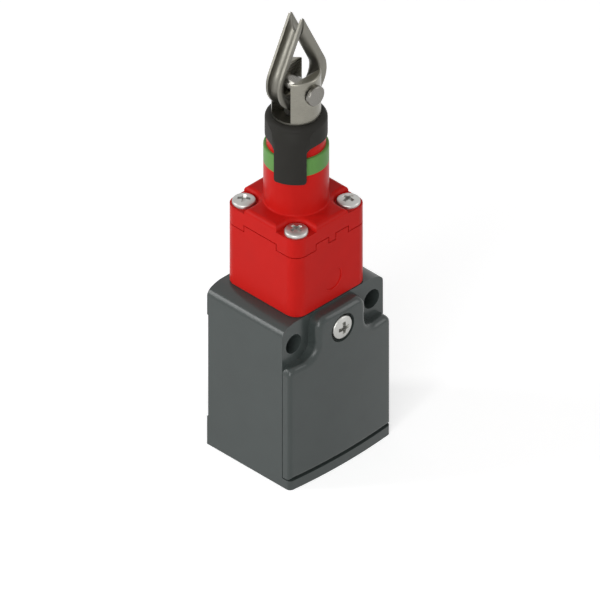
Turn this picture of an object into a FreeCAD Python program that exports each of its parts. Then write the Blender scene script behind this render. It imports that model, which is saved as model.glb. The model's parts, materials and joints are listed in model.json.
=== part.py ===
"""Rope pull switch: a small moulded case with a front cover, a red head with a round neck,
and a spring-loaded rod that a taut rope pulls by a clevis and a thimble.

Millimetres. The origin is the middle of the cable entry's mouth in the case's underside.
+Z runs along the rod towards the rope, and the cover faces -Y.
"""
import FreeCAD, Part
import math
import os
import Sketcher

V = FreeCAD.Vector

# Driving sizes: name, value, what it measures
SIZES = [
    ("case_width", 28.5, "case across X"),
    ("case_front", 10.25, "axis to the case's front face"),
    ("case_back", 10.9, "axis to the mounting face"),
    ("case_height", 38.4, "underside to the head's seat"),
    ("case_wall", 2.65, "side walls of the wiring chamber"),
    ("back_wall", 2.5, "back wall of the wiring chamber"),
    ("back_relief", 0.3, "hollow between the two mounting pads"),
    ("pad_low_top", 6.8, "upper edge of the lower mounting pad"),
    ("pad_high_height", 6.8, "height of the upper mounting pad"),
    ("crown_flat", 10.0, "half width of the level top"),
    ("crown_radius", 7.4, "round of the case's shoulders"),
    ("crown_edge", 0.9, "small round where the shoulder meets the side"),
    ("lip_height", 2.15, "foot lip under the cover"),
    ("lip_corner", 1.0, "round of the foot lip's front corners"),
    ("cover_gap", 0.25, "gap between the foot lip and the cover"),
    ("cover_depth", 2.19, "cover's thickness at its side edges"),
    ("cover_bulge", 130.0, "radius of the cover's bowed front"),
    ("cover_skin", 1.5, "cover's wall over the chamber"),
    ("cover_edge", 0.95, "round of the cover's front edges"),
    ("cover_tab_drop", 0.4, "cover's centre tab below the head's seat"),
    ("cover_tab_corner", 1.2, "round of the tab's top corners"),
    ("cover_shoulder_corner", 1.3, "round of the cover's outer shoulders"),
    ("cutout_radius", 4.2, "cover's cut-outs round the fixing holes"),
    ("fixing_edge", 3.25, "fixing holes from the case's sides"),
    ("fixing_drop", 5.1, "fixing holes below the head's seat"),
    ("fixing_radius", 2.15, "fixing holes"),
    ("entry_radius", 7.2, "cable entry, minor radius of its thread"),
    ("chamber_floor", 7.8, "wiring chamber's floor"),
    ("chamber_drop", 12.0, "wiring chamber's ceiling below the head's seat"),
    ("gasket_land", 0.4, "chamber edge to the gasket groove"),
    ("gasket_width", 1.0, "cover gasket's cord width"),
    ("gasket_depth", 0.9, "cover gasket's groove depth"),
    ("cover_screw_head", 2.62, "cover screw's head radius"),
    ("cover_screw_head_depth", 1.55, "cover screw's head thickness"),
    ("cover_screw_rim", 0.25, "round of the cover screw's head at its rim"),
    ("cover_screw_sink", 0.05, "cover screw's rim below the cover's front"),
    ("cover_screw_shank", 1.5, "cover screw's shank radius"),
    ("cover_screw_bite", 5.2, "cover screw's length in the case"),
    ("cover_screw_recess", 3.2, "recess round the cover screw's head"),
    ("screw_crown", 0.19, "rise of a screw's domed head, part of its radius"),
    ("recess_reach", 0.56, "cross recess's arms, part of the head's radius"),
    ("recess_half", 0.16, "half width of those arms, part of the head's radius"),
    ("recess_depth", 0.62, "cross recess, part of the head's height"),
    ("recess_draft", 14.0, "slope of the recess's walls in degrees"),
    ("screw_play", 0.2, "clearance of through holes round a shank"),
    ("thread_play", 0.02, "clearance of tapped holes round a shank"),
    ("head_width", 20.4, "red head across its flats"),
    ("head_corner", 2.75, "head's upright corners"),
    ("head_base_height", 14.4, "head base to its corner joint"),
    ("head_foot", 0.35, "round of the head base's lower edge"),
    ("head_floor", 1.6, "head base's floor"),
    ("head_bore", 6.5, "head base's round cavity"),
    ("merlon_rise", 1.45, "step of the joint at mid side"),
    ("merlon_half", 4.45, "half width of that step"),
    ("merlon_depth", 1.6, "how far the step reaches in"),
    ("key_half", 1.1, "half width of the cap's key at the front"),
    ("joint_gap", 0.22, "seam between head base and cap"),
    ("seat_width", 1.0, "land inside the seam that carries the cap"),
    ("dimple_radius", 2.6, "shallow round recess in the head's front"),
    ("dimple_height", 5.4, "recess centre above the case"),
    ("dimple_depth", 0.18, "recess depth"),
    ("cap_rise", 5.7, "joint at the corners to the cap's top"),
    ("notch_depth", 1.25, "screw seats below the cap's top"),
    ("notch_radius", 2.85, "clear round the screw heads"),
    ("cap_edge", 1.0, "round of the cap's top edges"),
    ("head_screw_offset", 7.36, "head screws from the axis along X and Y"),
    ("head_screw_head", 2.42, "head screws' head radius"),
    ("head_screw_head_depth", 1.2, "head screws' head height"),
    ("head_screw_rim", 0.22, "round of the head screws' heads at their rims"),
    ("head_screw_shank", 1.25, "head screws' shank radius"),
    ("head_screw_bite", 6.0, "head screws' length in the case"),
    ("neck_radius", 6.6, "neck"),
    ("neck_length", 9.6, "cap's top to the green band"),
    ("neck_foot", 0.35, "round at the neck's foot"),
    ("tube_radius", 5.98, "stepped end of the neck"),
    ("tube_length", 15.95, "cap's top to the end of the neck"),
    ("tube_bore", 4.6, "spring space in the neck"),
    ("spring_shoulder", 0.9, "shoulder over the pull spring"),
    ("shoulder_bore", 3.2, "hole in that shoulder"),
    ("bush_radius", 4.0, "guide bush and wiper seal, outside"),
    ("bush_length", 1.9, "guide bush"),
    ("seal_height", 1.1, "wiper seal"),
    ("band_height", 3.95, "green band"),
    ("band_rim", 0.7, "round of the band's top edge"),
    ("press_play", 0.02, "radial clearance of pushed-on pieces"),
    ("head_gasket_inner", 3.2, "head gasket's inner radius"),
    ("head_gasket_outer", 4.6, "head gasket's outer radius"),
    ("head_gasket_depth", 0.8, "head gasket's groove"),
    ("rod_radius", 2.5, "pull rod"),
    ("rod_play", 0.03, "running clearance of the rod in its bush"),
    ("seal_play", 0.1, "wiper lip's clearance"),
    ("rod_stud", 1.3, "threaded end in the cone"),
    ("rod_neck_stud", 1.5, "threaded end in the swivel nut"),
    ("rod_flange_radius", 4.1, "flange under the spring washer"),
    ("rod_flange", 1.5, "thickness of that flange"),
    ("washer_thickness", 0.7, "spring washer"),
    ("pull_travel", 7.0, "rod's full travel"),
    ("cone_radius", 4.4, "cone's wide end"),
    ("cone_rim", 0.4, "straight rim of the cone"),
    ("cone_slope", 0.25, "follower's travel per rod travel"),
    ("cone_recess_radius", 2.8, "recess for the nut in the cone"),
    ("cone_recess", 2.4, "depth of that recess"),
    ("nut_flats", 4.6, "cam nut across its flats"),
    ("nut_height", 1.8, "cam nut"),
    ("run_gap", 0.3, "running gap between moving pieces"),
    ("slide_play", 0.1, "cam slide's guiding clearance"),
    ("slide_half", 2.0, "half width of the cam slide"),
    ("slide_bar", 1.4, "bar of the cam slide over the plunger"),
    ("slide_tail", 5.5, "cam slide's reach behind the axis"),
    ("slide_arm", 1.5, "upright arm of the cam slide"),
    ("nose_height", 0.8, "follower nose"),
    ("plunger_radius", 1.6, "contact plunger"),
    ("plunger_play", 0.1, "contact plunger's running clearance"),
    ("plunger_tail", 1.0, "plunger below the moving contact"),
    ("bridge_drop", 6.8, "moving contact's underside below the chamber's ceiling at rest"),
    ("bridge_thickness", 0.6, "moving contact"),
    ("bridge_end_gap", 0.4, "moving contact's ends to the window's sides"),
    ("bridge_half_width", 1.0, "half width of the moving contact"),
    ("contact_gap", 0.1, "moving to fixed contact when closed"),
    ("block_side_gap", 0.8, "contact block to the chamber's sides"),
    ("block_front", 5.5, "axis to the contact block's front"),
    ("block_height", 13.8, "contact block"),
    ("window_roof", 3.5, "contact block over its window"),
    ("window_height", 8.2, "contact window"),
    ("window_back", 3.0, "axis to the window's back"),
    ("spring_pit", 1.0, "recess under the plunger spring"),
    ("spring_pit_radius", 1.9, "radius of that recess"),
    ("block_screw_shank", 0.8, "contact block screws' shank radius"),
    ("block_screw_head", 1.35, "contact block screws' head radius"),
    ("block_screw_head_depth", 1.2, "contact block screws' head"),
    ("block_screw_rim", 0.3, "round of the contact block screws' heads at their rims"),
    ("block_screw_bite", 1.5, "contact block screws in the back wall"),
    ("strip_thickness", 0.8, "fixed contact strip"),
    ("strip_edge", 0.6, "fixed contact's outer edge to the block's side"),
    ("contact_overlap", 1.8, "fixed contact's reach past the moving contact's end"),
    ("strip_back", 1.2, "fixed contact's reach behind the axis"),
    ("plate_height", 5.4, "terminal plate's height"),
    ("terminal_drop", 3.2, "terminal screw to its contact strip"),
    ("clamp_half", 2.05, "half width of a wire clamp"),
    ("clamp_margin", 0.1, "wire clamp inside its terminal plate"),
    ("clamp_thickness", 0.9, "wire clamp"),
    ("terminal_head", 1.9, "terminal screws' head radius"),
    ("terminal_head_depth", 1.6, "terminal screws' head"),
    ("terminal_rim", 0.3, "round of the terminal screws' heads at their rims"),
    ("terminal_shank", 1.1, "terminal screws' shank radius"),
    ("terminal_bite", 3.0, "terminal screws' length in the block"),
    ("pull_wire", 0.9, "pull spring's wire"),
    ("pull_coil", 3.75, "pull spring's mean radius"),
    ("pull_turns", 5.0, "pull spring's turns"),
    ("plunger_wire", 0.4, "plunger spring's wire"),
    ("plunger_coil", 1.3, "plunger spring's mean radius"),
    ("plunger_turns", 5.0, "plunger spring's turns"),
    ("sleeve_radius", 6.32, "indicator sleeve's ring"),
    ("sleeve_height", 4.95, "indicator sleeve's ring"),
    ("sleeve_floor", 0.8, "web under the clevis"),
    ("sleeve_edge", 1.1, "round of the ring's top edge"),
    ("sleeve_rest", 0.05, "ring above the neck's end at rest"),
    ("tongue_inner", 6.85, "inside radius of the pointer tongues"),
    ("tongue_outer", 7.3, "outside radius of the pointer tongues"),
    ("tongue_drop", 7.95, "tongues below the ring"),
    ("tongue_half", 3.3, "half width of the pointer tongues"),
    ("tongue_corner", 0.5, "round of the tongues' end corners"),
    ("tongue_turn", 214.0, "direction of the first tongue in degrees"),
    ("tongue_root", 0.9, "fillet at the tongues' roots"),
    ("clevis_radius", 5.0, "clevis"),
    ("clevis_height", 14.15, "clevis, foot to arm ends"),
    ("clevis_edge", 0.35, "round of the arms' ends"),
    ("slot_half", 2.65, "half width of the clevis slot"),
    ("slot_floor", 4.6, "slot's floor above the clevis's foot"),
    ("pin_height", 10.7, "pin above the clevis's foot"),
    ("pin_radius", 1.75, "clevis pin"),
    ("pin_play", 0.04, "pin's clearance in the arms"),
    ("pin_head_radius", 2.2, "clevis pin's head"),
    ("pin_head", 0.9, "thickness of the pin's head and tail rivet"),
    ("pin_head_edge", 0.25, "chamfer of the pin's head"),
    ("clip_radius", 2.6, "retaining clip at the pin's back end"),
    ("clip_thickness", 0.6, "retaining clip"),
    ("swivel_nut_radius", 2.45, "round nut that holds the clevis"),
    ("swivel_nut_height", 1.6, "that nut's height"),
    ("swivel_play", 0.05, "clearance in the swivel"),
    ("swivel_side", 0.15, "clearance round the swivel nut"),
    ("thimble_eye", 4.4, "thimble's round eye"),
    ("thimble_depth", 2.3, "channel's radial depth"),
    ("thimble_width", 3.8, "channel's width"),
    ("thimble_sheet", 0.55, "channel's sheet"),
    ("thimble_play", 0.55, "pin to the thimble's eye"),
    ("thimble_lean", 26.0, "leaves' lean from the axis in degrees"),
    ("thimble_gap", 0.5, "gap between the leaves' ends"),
]


class Dim:
    """A size as a number and as the expression that ties it to the sheet."""

    def __init__(self, text, value):
        self.text = text
        self.value = value

    def __add__(self, other):
        other = dim(other)
        return Dim(f"({self.text} + {other.text})", self.value + other.value)

    def __sub__(self, other):
        other = dim(other)
        return Dim(f"({self.text} - {other.text})", self.value - other.value)

    def __mul__(self, other):
        other = dim(other)
        return Dim(f"({self.text} * {other.text})", self.value * other.value)

    def __truediv__(self, other):
        other = dim(other)
        return Dim(f"({self.text} / {other.text})", self.value / other.value)

    def __neg__(self):
        return Dim(f"(0 - {self.text})", -self.value)


def dim(value):
    """Turn a plain number into a size."""
    return value if isinstance(value, Dim) else Dim(repr(float(value)), float(value))


def rise_of_arc(radius, half):
    """How far an arc rises over a chord of that half width."""
    text = f"({radius.text} - sqrt({radius.text} ^ 2 - {half.text} ^ 2))"
    return Dim(text, radius.value - math.sqrt(radius.value ** 2 - half.value ** 2))


class Sizes:
    """The sheet's cells by name."""


doc = FreeCAD.newDocument("rope_pull_switch")
sheet = doc.addObject("Spreadsheet::Sheet", "Sizes")
S = Sizes()
for row, (name, value, note) in enumerate(SIZES, start=1):
    sheet.set(f"A{row}", note)
    sheet.set(f"B{row}", str(value))
    sheet.setAlias(f"B{row}", name)
    setattr(S, name, Dim(f"Sizes.{name}", value))
doc.recompute()

ZERO = dim(0)
PIECES = []

# Levels and places that several pieces share
CASE_HALF = S.case_width / 2
CHAMBER_HALF = CASE_HALF - S.case_wall
CHAMBER_BACK = S.case_back - S.back_wall
CHAMBER_TOP = S.case_height - S.chamber_drop
PAD_HIGH_BOTTOM = S.case_height - S.pad_high_height
FIXING_X = CASE_HALF - S.fixing_edge
FIXING_Z = S.case_height - S.fixing_drop
TAB_HALF = FIXING_X - S.cutout_radius
TAB_TOP = S.case_height - S.cover_tab_drop
SHOULDER = FIXING_Z - S.cutout_radius
COVER_BOTTOM = S.lip_height + S.cover_gap
COVER_FRONT = S.case_front + S.cover_depth
COVER_NOSE = COVER_FRONT + rise_of_arc(S.cover_bulge, CASE_HALF)
COVER_SCREW_SIDE = S.cover_screw_head_depth - S.cover_screw_head * S.screw_crown
RECESS_FLOOR = COVER_NOSE - S.cover_screw_sink - COVER_SCREW_SIDE

HEAD_HALF = S.head_width / 2
BASE_TOP = S.case_height + S.head_base_height
CAP_BOTTOM = BASE_TOP + S.joint_gap
CAP_TOP = BASE_TOP + S.cap_rise
SCREW_SEAT = CAP_TOP - S.notch_depth
NOTCH_EDGE = S.head_screw_offset - S.notch_radius
NECK_TOP = CAP_TOP + S.neck_length
TUBE_TOP = CAP_TOP + S.tube_length
SEAL_BOTTOM = TUBE_TOP - S.seal_height
BUSH_BOTTOM = SEAL_BOTTOM - S.bush_length
SPRING_TOP = BUSH_BOTTOM - S.spring_shoulder

PLUNGER_HOLE = S.plunger_radius + S.plunger_play
SLIDE_TRAVEL = S.pull_travel * S.cone_slope
FLOOR = S.case_height + S.head_floor
SLIDE_BOTTOM = FLOOR + S.slide_play
WEDGE_BACK = S.plunger_radius + SLIDE_TRAVEL + S.run_gap
WEDGE_FRONT = S.plunger_radius + S.run_gap
WEDGE_LEVEL = SLIDE_BOTTOM + WEDGE_BACK
BAR_TOP = WEDGE_LEVEL + WEDGE_FRONT + S.slide_bar
CONE_BOTTOM = BAR_TOP + S.run_gap
NOSE_BOTTOM = CONE_BOTTOM + S.cone_rim + S.pull_travel + S.run_gap
NOSE_TOP = NOSE_BOTTOM + S.nose_height
CONE_TOP = NOSE_TOP + S.run_gap
CONE_SMALL = S.cone_radius - S.cone_slope * (CONE_TOP - CONE_BOTTOM - S.cone_rim)
NOSE_X = S.cone_radius - S.cone_slope * (S.pull_travel + S.run_gap) + S.slide_play
ARM_INNER = S.cone_radius + S.run_gap
ARM_OUTER = ARM_INNER + S.slide_arm
SLOT_END = ARM_OUTER + SLIDE_TRAVEL + S.run_gap
SLOT_HALF = S.slide_half + S.slide_play
WASHER_BOTTOM = CONE_TOP + S.rod_flange
WASHER_TOP = WASHER_BOTTOM + S.washer_thickness

BLOCK_TOP = CHAMBER_TOP - S.run_gap
BLOCK_BOTTOM = BLOCK_TOP - S.block_height
BLOCK_HALF = CHAMBER_HALF - S.block_side_gap
WINDOW_TOP = BLOCK_TOP - S.window_roof
WINDOW_FLOOR = WINDOW_TOP - S.window_height
STRIP_OUTER = BLOCK_HALF - S.strip_edge
TERMINAL_X = STRIP_OUTER - S.clamp_margin - S.clamp_half
PLATE_INNER = TERMINAL_X - S.clamp_half - S.clamp_margin
WINDOW_HALF = PLATE_INNER - S.run_gap
BRIDGE_HALF = WINDOW_HALF - S.bridge_end_gap
STRIP_INNER = BRIDGE_HALF - S.contact_overlap
BLOCK_SCREW_X = (PLUNGER_HOLE + PLATE_INNER) / 2
BLOCK_SCREW_Z = BLOCK_TOP - S.window_roof / 2
BRIDGE_BOTTOM = CHAMBER_TOP - S.bridge_drop
BRIDGE_TOP = BRIDGE_BOTTOM + S.bridge_thickness
PLUNGER_FOOT = BRIDGE_BOTTOM - S.plunger_tail
UPPER_STRIP = BRIDGE_TOP + S.contact_gap
LOWER_STRIP_TOP = BRIDGE_BOTTOM - SLIDE_TRAVEL - S.contact_gap
PLATE_FRONT = S.block_front + S.strip_thickness
CLAMP_FRONT = PLATE_FRONT + S.clamp_thickness

SLEEVE_BOTTOM = TUBE_TOP + S.sleeve_rest
SLEEVE_TOP = SLEEVE_BOTTOM + S.sleeve_height
CLEVIS_FOOT = SLEEVE_BOTTOM + S.sleeve_floor
CLEVIS_TOP = CLEVIS_FOOT + S.clevis_height
CLEVIS_SLOT = CLEVIS_FOOT + S.slot_floor
ROD_SHOULDER = CLEVIS_FOOT - S.swivel_play
NUT_TOP = CLEVIS_SLOT - S.swivel_play
NUT_BOTTOM = NUT_TOP - S.swivel_nut_height
PIN_LEVEL = CLEVIS_FOOT + S.pin_height
THIMBLE_CENTRE = PIN_LEVEL - S.pin_radius - S.thimble_play + S.thimble_eye


# Helpers for sketches and features

def bind(thing, prop, value):
    """Tie a property to the sheet."""
    thing.setExpression(prop, dim(value).text)


def fix(sk, kind, places, value):
    """Add a measured constraint that follows the sheet."""
    value = dim(value)
    index = sk.addConstraint(Sketcher.Constraint(kind, *places, value.value))
    sk.setExpression(f"Constraints[{index}]", value.text)


def body(name):
    """Start a piece made of features."""
    piece = doc.addObject("PartDesign::Body", name)
    piece.Label = name
    return piece


def plane(piece, role):
    """Find one of a body's own origin planes or axes."""
    return next(item for item in piece.Origin.OriginFeatures if item.Role == role)


def sketch(piece, role, offset=ZERO):
    """Start a sketch on an origin plane, moved along the plane's normal."""
    sk = piece.newObject("Sketcher::SketchObject", f"{piece.Name}_sketch")
    sk.AttachmentSupport = [(plane(piece, role), "")]
    sk.MapMode = "FlatFace"
    bind(sk, "AttachmentOffset.Base.z", offset)
    return sk


def point(corner):
    return V(dim(corner[0]).value, dim(corner[1]).value, 0)


def join(sk, *ends):
    """Make ends of drawn lines coincide, each given as line, end, other line, its end."""
    for pair in ends:
        sk.addConstraint(Sketcher.Constraint("Coincident", *pair))


def outline(sk, *corners):
    """Draw a closed outline of level and upright sides; a corner is (x, y) or (x, y, radius)."""
    count = len(corners)
    radii = [dim(corner[2]) if len(corner) > 2 else None for corner in corners]
    points = [point(corner) for corner in corners]
    ways = [(points[(i + 1) % count] - points[i]).normalize() for i in range(count)]
    sides = []
    for i in range(count):
        after = (i + 1) % count
        start = points[i] + ways[i] * (radii[i].value if radii[i] else 0)
        end = points[after] - ways[i] * (radii[after].value if radii[after] else 0)
        sides.append(sk.addGeometry(Part.LineSegment(start, end)))
        level = abs(ways[i].y) < 0.5
        sk.addConstraint(Sketcher.Constraint("Horizontal" if level else "Vertical", sides[i]))
        if level:
            fix(sk, "DistanceY", (-1, 1, sides[i], 1), corners[i][1])
        else:
            fix(sk, "DistanceX", (-1, 1, sides[i], 1), corners[i][0])
    for i in range(count):
        before = sides[i - 1]
        if radii[i] is None:
            sk.addConstraint(Sketcher.Constraint("Coincident", before, 2, sides[i], 1))
            continue
        radius = radii[i].value
        start = points[i] - ways[i - 1] * radius
        end = points[i] + ways[i] * radius
        middle = start + ways[i] * radius
        left = ways[i - 1].cross(ways[i]).z > 0
        first, last = (start, end) if left else (end, start)
        angles = [math.atan2(p.y - middle.y, p.x - middle.x) for p in (first, last)]
        if angles[1] < angles[0]:
            angles[1] += 2 * math.pi
        arc = sk.addGeometry(Part.ArcOfCircle(Part.Circle(middle, V(0, 0, 1), radius), *angles))
        sk.addConstraint(Sketcher.Constraint("Tangent", before, 2, arc, 1 if left else 2))
        sk.addConstraint(Sketcher.Constraint("Tangent", arc, 2 if left else 1, sides[i], 1))
        fix(sk, "Radius", (arc,), radii[i])


def rectangle(sk, x0, x1, y0, y1, radius=None):
    """Draw a rectangle, with rounded corners where a radius is given."""
    tail = () if radius is None else (radius,)
    outline(sk, (x0, y0) + tail, (x1, y0) + tail, (x1, y1) + tail, (x0, y1) + tail)


def polygon(sk, *corners):
    """Draw a closed outline of straight sides between measured corners."""
    count = len(corners)
    sides = []
    for i in range(count):
        ends = point(corners[i]), point(corners[(i + 1) % count])
        sides.append(sk.addGeometry(Part.LineSegment(*ends)))
    for i in range(count):
        sk.addConstraint(Sketcher.Constraint("Coincident", sides[i - 1], 2, sides[i], 1))
        fix(sk, "DistanceX", (-1, 1, sides[i], 1), corners[i][0])
        fix(sk, "DistanceY", (-1, 1, sides[i], 1), corners[i][1])


def circle(sk, x, y, radius):
    """Draw a circle at a measured place."""
    ring = sk.addGeometry(Part.Circle(point((x, y)), V(0, 0, 1), dim(radius).value))
    fix(sk, "DistanceX", (-1, 1, ring, 3), x)
    fix(sk, "DistanceY", (-1, 1, ring, 3), y)
    fix(sk, "Radius", (ring,), radius)


def extrude(piece, kind, sk, length, other=None, back=False):
    """Pad or pocket a sketch by one length, or by one length each way."""
    feature = piece.newObject(f"PartDesign::{kind}", f"{piece.Name}_{kind.lower()}")
    feature.Profile = sk
    feature.Reversed = back
    bind(feature, "Length", length)
    if other is not None:
        feature.SideType = "Two sides"
        bind(feature, "Length2", other)
    doc.recompute()
    return feature


def pad(piece, sk, length, other=None, back=False):
    return extrude(piece, "Pad", sk, length, other, back)


def pocket(piece, sk, length, other=None, back=False):
    """Cut a sketch away, and make sure that something was cut."""
    before = piece.Shape.Volume
    feature = extrude(piece, "Pocket", sk, length, other, back)
    if piece.Shape.Volume > before - 1e-4:
        raise ValueError(f"{feature.Name} cuts nothing")
    return feature


def turn(piece, sk, kind="Revolution"):
    """Turn a sketch round the piece's upright axis, adding or cutting."""
    feature = piece.newObject(f"PartDesign::{kind}", f"{piece.Name}_{kind.lower()}")
    feature.Profile = sk
    feature.ReferenceAxis = (sk, ["V_Axis"])
    feature.Angle = 360
    doc.recompute()
    return feature


def round_edges(piece, radius, wanted):
    """Fillet the edges whose middle and direction the test picks."""
    base = piece.Tip
    names = []
    for number, edge in enumerate(base.Shape.Edges, start=1):
        middle = edge.valueAt((edge.FirstParameter + edge.LastParameter) / 2)
        if wanted(edge, middle):
            names.append(f"Edge{number}")
    if not names:
        raise ValueError(f"{piece.Name} has no such edge to round")
    fillet = piece.newObject("PartDesign::Fillet", f"{piece.Name}_fillet")
    fillet.Base = (base, names)
    bind(fillet, "Radius", radius)
    doc.recompute()
    return fillet


def repeat(piece, feature, count):
    """Repeat a feature evenly round the upright axis."""
    pattern = piece.newObject("PartDesign::PolarPattern", f"{piece.Name}_pattern")
    pattern.Originals = [feature]
    pattern.Axis = (plane(piece, "Z_Axis"), [""])
    pattern.Angle = 360
    pattern.Occurrences = count
    piece.Tip = pattern
    doc.recompute()
    return pattern


def near(a, b):
    """Whether two lengths are the same to a hundredth."""
    return abs(a - dim(b).value) < 0.01


def keep(piece):
    """List a finished piece for export."""
    PIECES.append(piece)
    return piece


def group(name, shapes):
    """A node of several like solids."""
    piece = doc.addObject("Part::Feature", name)
    piece.Label = name
    piece.Shape = Part.makeCompound(shapes)
    return keep(piece)


def ring(name, inner, outer, bottom, top, *rounds):
    """A turned ring, with optional (radius, level) rounds on its outer edges."""
    piece = body(name)
    sk = sketch(piece, "XZ_Plane")
    rectangle(sk, inner, outer, bottom, top)
    turn(piece, sk)
    for radius, level in rounds:
        round_edges(piece, radius,
                    lambda edge, mid: near(mid.z, level) and near(math.hypot(mid.x, mid.y), outer)
                    and len(edge.Vertexes) == 1)
    return keep(piece)


# Case

def plan_of_front(sk, back):
    """Plan of the cover and foot lip: straight sides and back, and a gently bowed front."""
    half = CASE_HALF.value
    edge = -COVER_FRONT.value
    rear = sk.addGeometry(Part.LineSegment(V(half, back.value, 0), V(-half, back.value, 0)))
    left = sk.addGeometry(Part.LineSegment(V(-half, back.value, 0), V(-half, edge, 0)))
    right = sk.addGeometry(Part.LineSegment(V(half, edge, 0), V(half, back.value, 0)))
    radius = S.cover_bulge.value
    rise = math.sqrt(radius ** 2 - half ** 2)
    spread = math.asin(half / radius)
    bow = Part.ArcOfCircle(Part.Circle(V(0, edge + rise, 0), V(0, 0, 1), radius),
                           1.5 * math.pi - spread, 1.5 * math.pi + spread)
    front = sk.addGeometry(bow)
    join(sk, (rear, 2, left, 1), (left, 2, front, 1), (front, 2, right, 1), (right, 2, rear, 1))
    sk.addConstraint(Sketcher.Constraint("Horizontal", rear))
    sk.addConstraint(Sketcher.Constraint("Vertical", left))
    sk.addConstraint(Sketcher.Constraint("Vertical", right))
    fix(sk, "DistanceX", (-1, 1, left, 1), -CASE_HALF)
    fix(sk, "DistanceX", (-1, 1, right, 1), CASE_HALF)
    fix(sk, "DistanceY", (-1, 1, rear, 1), back)
    fix(sk, "DistanceY", (-1, 1, left, 2), -COVER_FRONT)
    fix(sk, "DistanceY", (-1, 1, right, 1), -COVER_FRONT)
    fix(sk, "Radius", (front,), S.cover_bulge)


def make_housing():
    piece = body("housing")
    # Shoulders wider than the case, then both sides trimmed to its width
    wide = S.crown_flat + S.crown_radius
    sk = sketch(piece, "XZ_Plane")
    outline(sk, (-wide, 0), (wide, 0), (wide, S.case_height, S.crown_radius),
            (-wide, S.case_height, S.crown_radius))
    pad(piece, sk, S.case_front, S.case_back)
    sk = sketch(piece, "XZ_Plane")
    beyond = wide + S.case_wall
    rectangle(sk, CASE_HALF, beyond, -S.case_wall, S.case_height + S.case_wall)
    rectangle(sk, -beyond, -CASE_HALF, -S.case_wall, S.case_height + S.case_wall)
    pocket(piece, sk, S.case_back + S.case_wall, S.case_front + S.case_wall)
    round_edges(piece, S.crown_edge,
                lambda edge, mid: near(abs(mid.x), CASE_HALF) and mid.z > S.case_height.value / 2
                and near(mid.y, (S.case_back - S.case_front) / 2))
    # Foot lip that the cover stands over
    sk = sketch(piece, "XY_Plane")
    plan_of_front(sk, -S.case_front + S.case_wall)
    pad(piece, sk, S.lip_height)
    round_edges(piece, S.lip_corner,
                lambda edge, mid: near(abs(mid.x), CASE_HALF) and near(mid.y, -COVER_FRONT)
                and near(mid.z, S.lip_height / 2))
    # Wiring chamber, open at the front
    sk = sketch(piece, "XZ_Plane")
    rectangle(sk, -CHAMBER_HALF, CHAMBER_HALF, S.chamber_floor, CHAMBER_TOP)
    pocket(piece, sk, CHAMBER_BACK, S.case_front)
    # Gasket groove round the chamber's mouth
    sk = sketch(piece, "XZ_Plane", S.case_front)
    gasket_frame(sk)
    pocket(piece, sk, S.gasket_depth)
    # Cable entry from below
    sk = sketch(piece, "XY_Plane")
    circle(sk, 0, 0, S.entry_radius)
    pocket(piece, sk, S.chamber_floor, back=True)
    # Plunger hole up to the head
    sk = sketch(piece, "XY_Plane", CHAMBER_TOP)
    circle(sk, 0, 0, PLUNGER_HOLE)
    pocket(piece, sk, S.case_height - CHAMBER_TOP, back=True)
    # Fixing holes through the ears
    sk = sketch(piece, "XZ_Plane")
    circle(sk, FIXING_X, FIXING_Z, S.fixing_radius)
    circle(sk, -FIXING_X, FIXING_Z, S.fixing_radius)
    pocket(piece, sk, S.case_back, S.case_front)
    # Tapped hole for the cover screw
    sk = sketch(piece, "XZ_Plane", S.case_front)
    circle(sk, 0, FIXING_Z, S.cover_screw_shank + S.thread_play)
    pocket(piece, sk, S.cover_screw_bite + S.run_gap)
    # Tapped holes for the head screws
    sk = sketch(piece, "XY_Plane", S.case_height)
    circle(sk, S.head_screw_offset, S.head_screw_offset, S.head_screw_shank + S.thread_play)
    repeat(piece, pocket(piece, sk, S.head_screw_bite + S.run_gap), 4)
    # Tapped holes for the contact block
    sk = sketch(piece, "XZ_Plane", -CHAMBER_BACK)
    for side in (1, -1):
        circle(sk, BLOCK_SCREW_X * side, BLOCK_SCREW_Z, S.block_screw_shank + S.thread_play)
    pocket(piece, sk, S.block_screw_bite + S.screw_play)
    # Hollow between the mounting pads
    sk = sketch(piece, "XZ_Plane", S.back_relief - S.case_back)
    rectangle(sk, -CASE_HALF, CASE_HALF, S.pad_low_top, PAD_HIGH_BOTTOM)
    pocket(piece, sk, S.back_relief)
    return keep(piece)


def gasket_frame(sk):
    """Frame round the chamber's mouth."""
    for grow in (S.gasket_land, S.gasket_land + S.gasket_width):
        rectangle(sk, -CHAMBER_HALF - grow, CHAMBER_HALF + grow, S.chamber_floor - grow, CHAMBER_TOP + grow)


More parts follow.
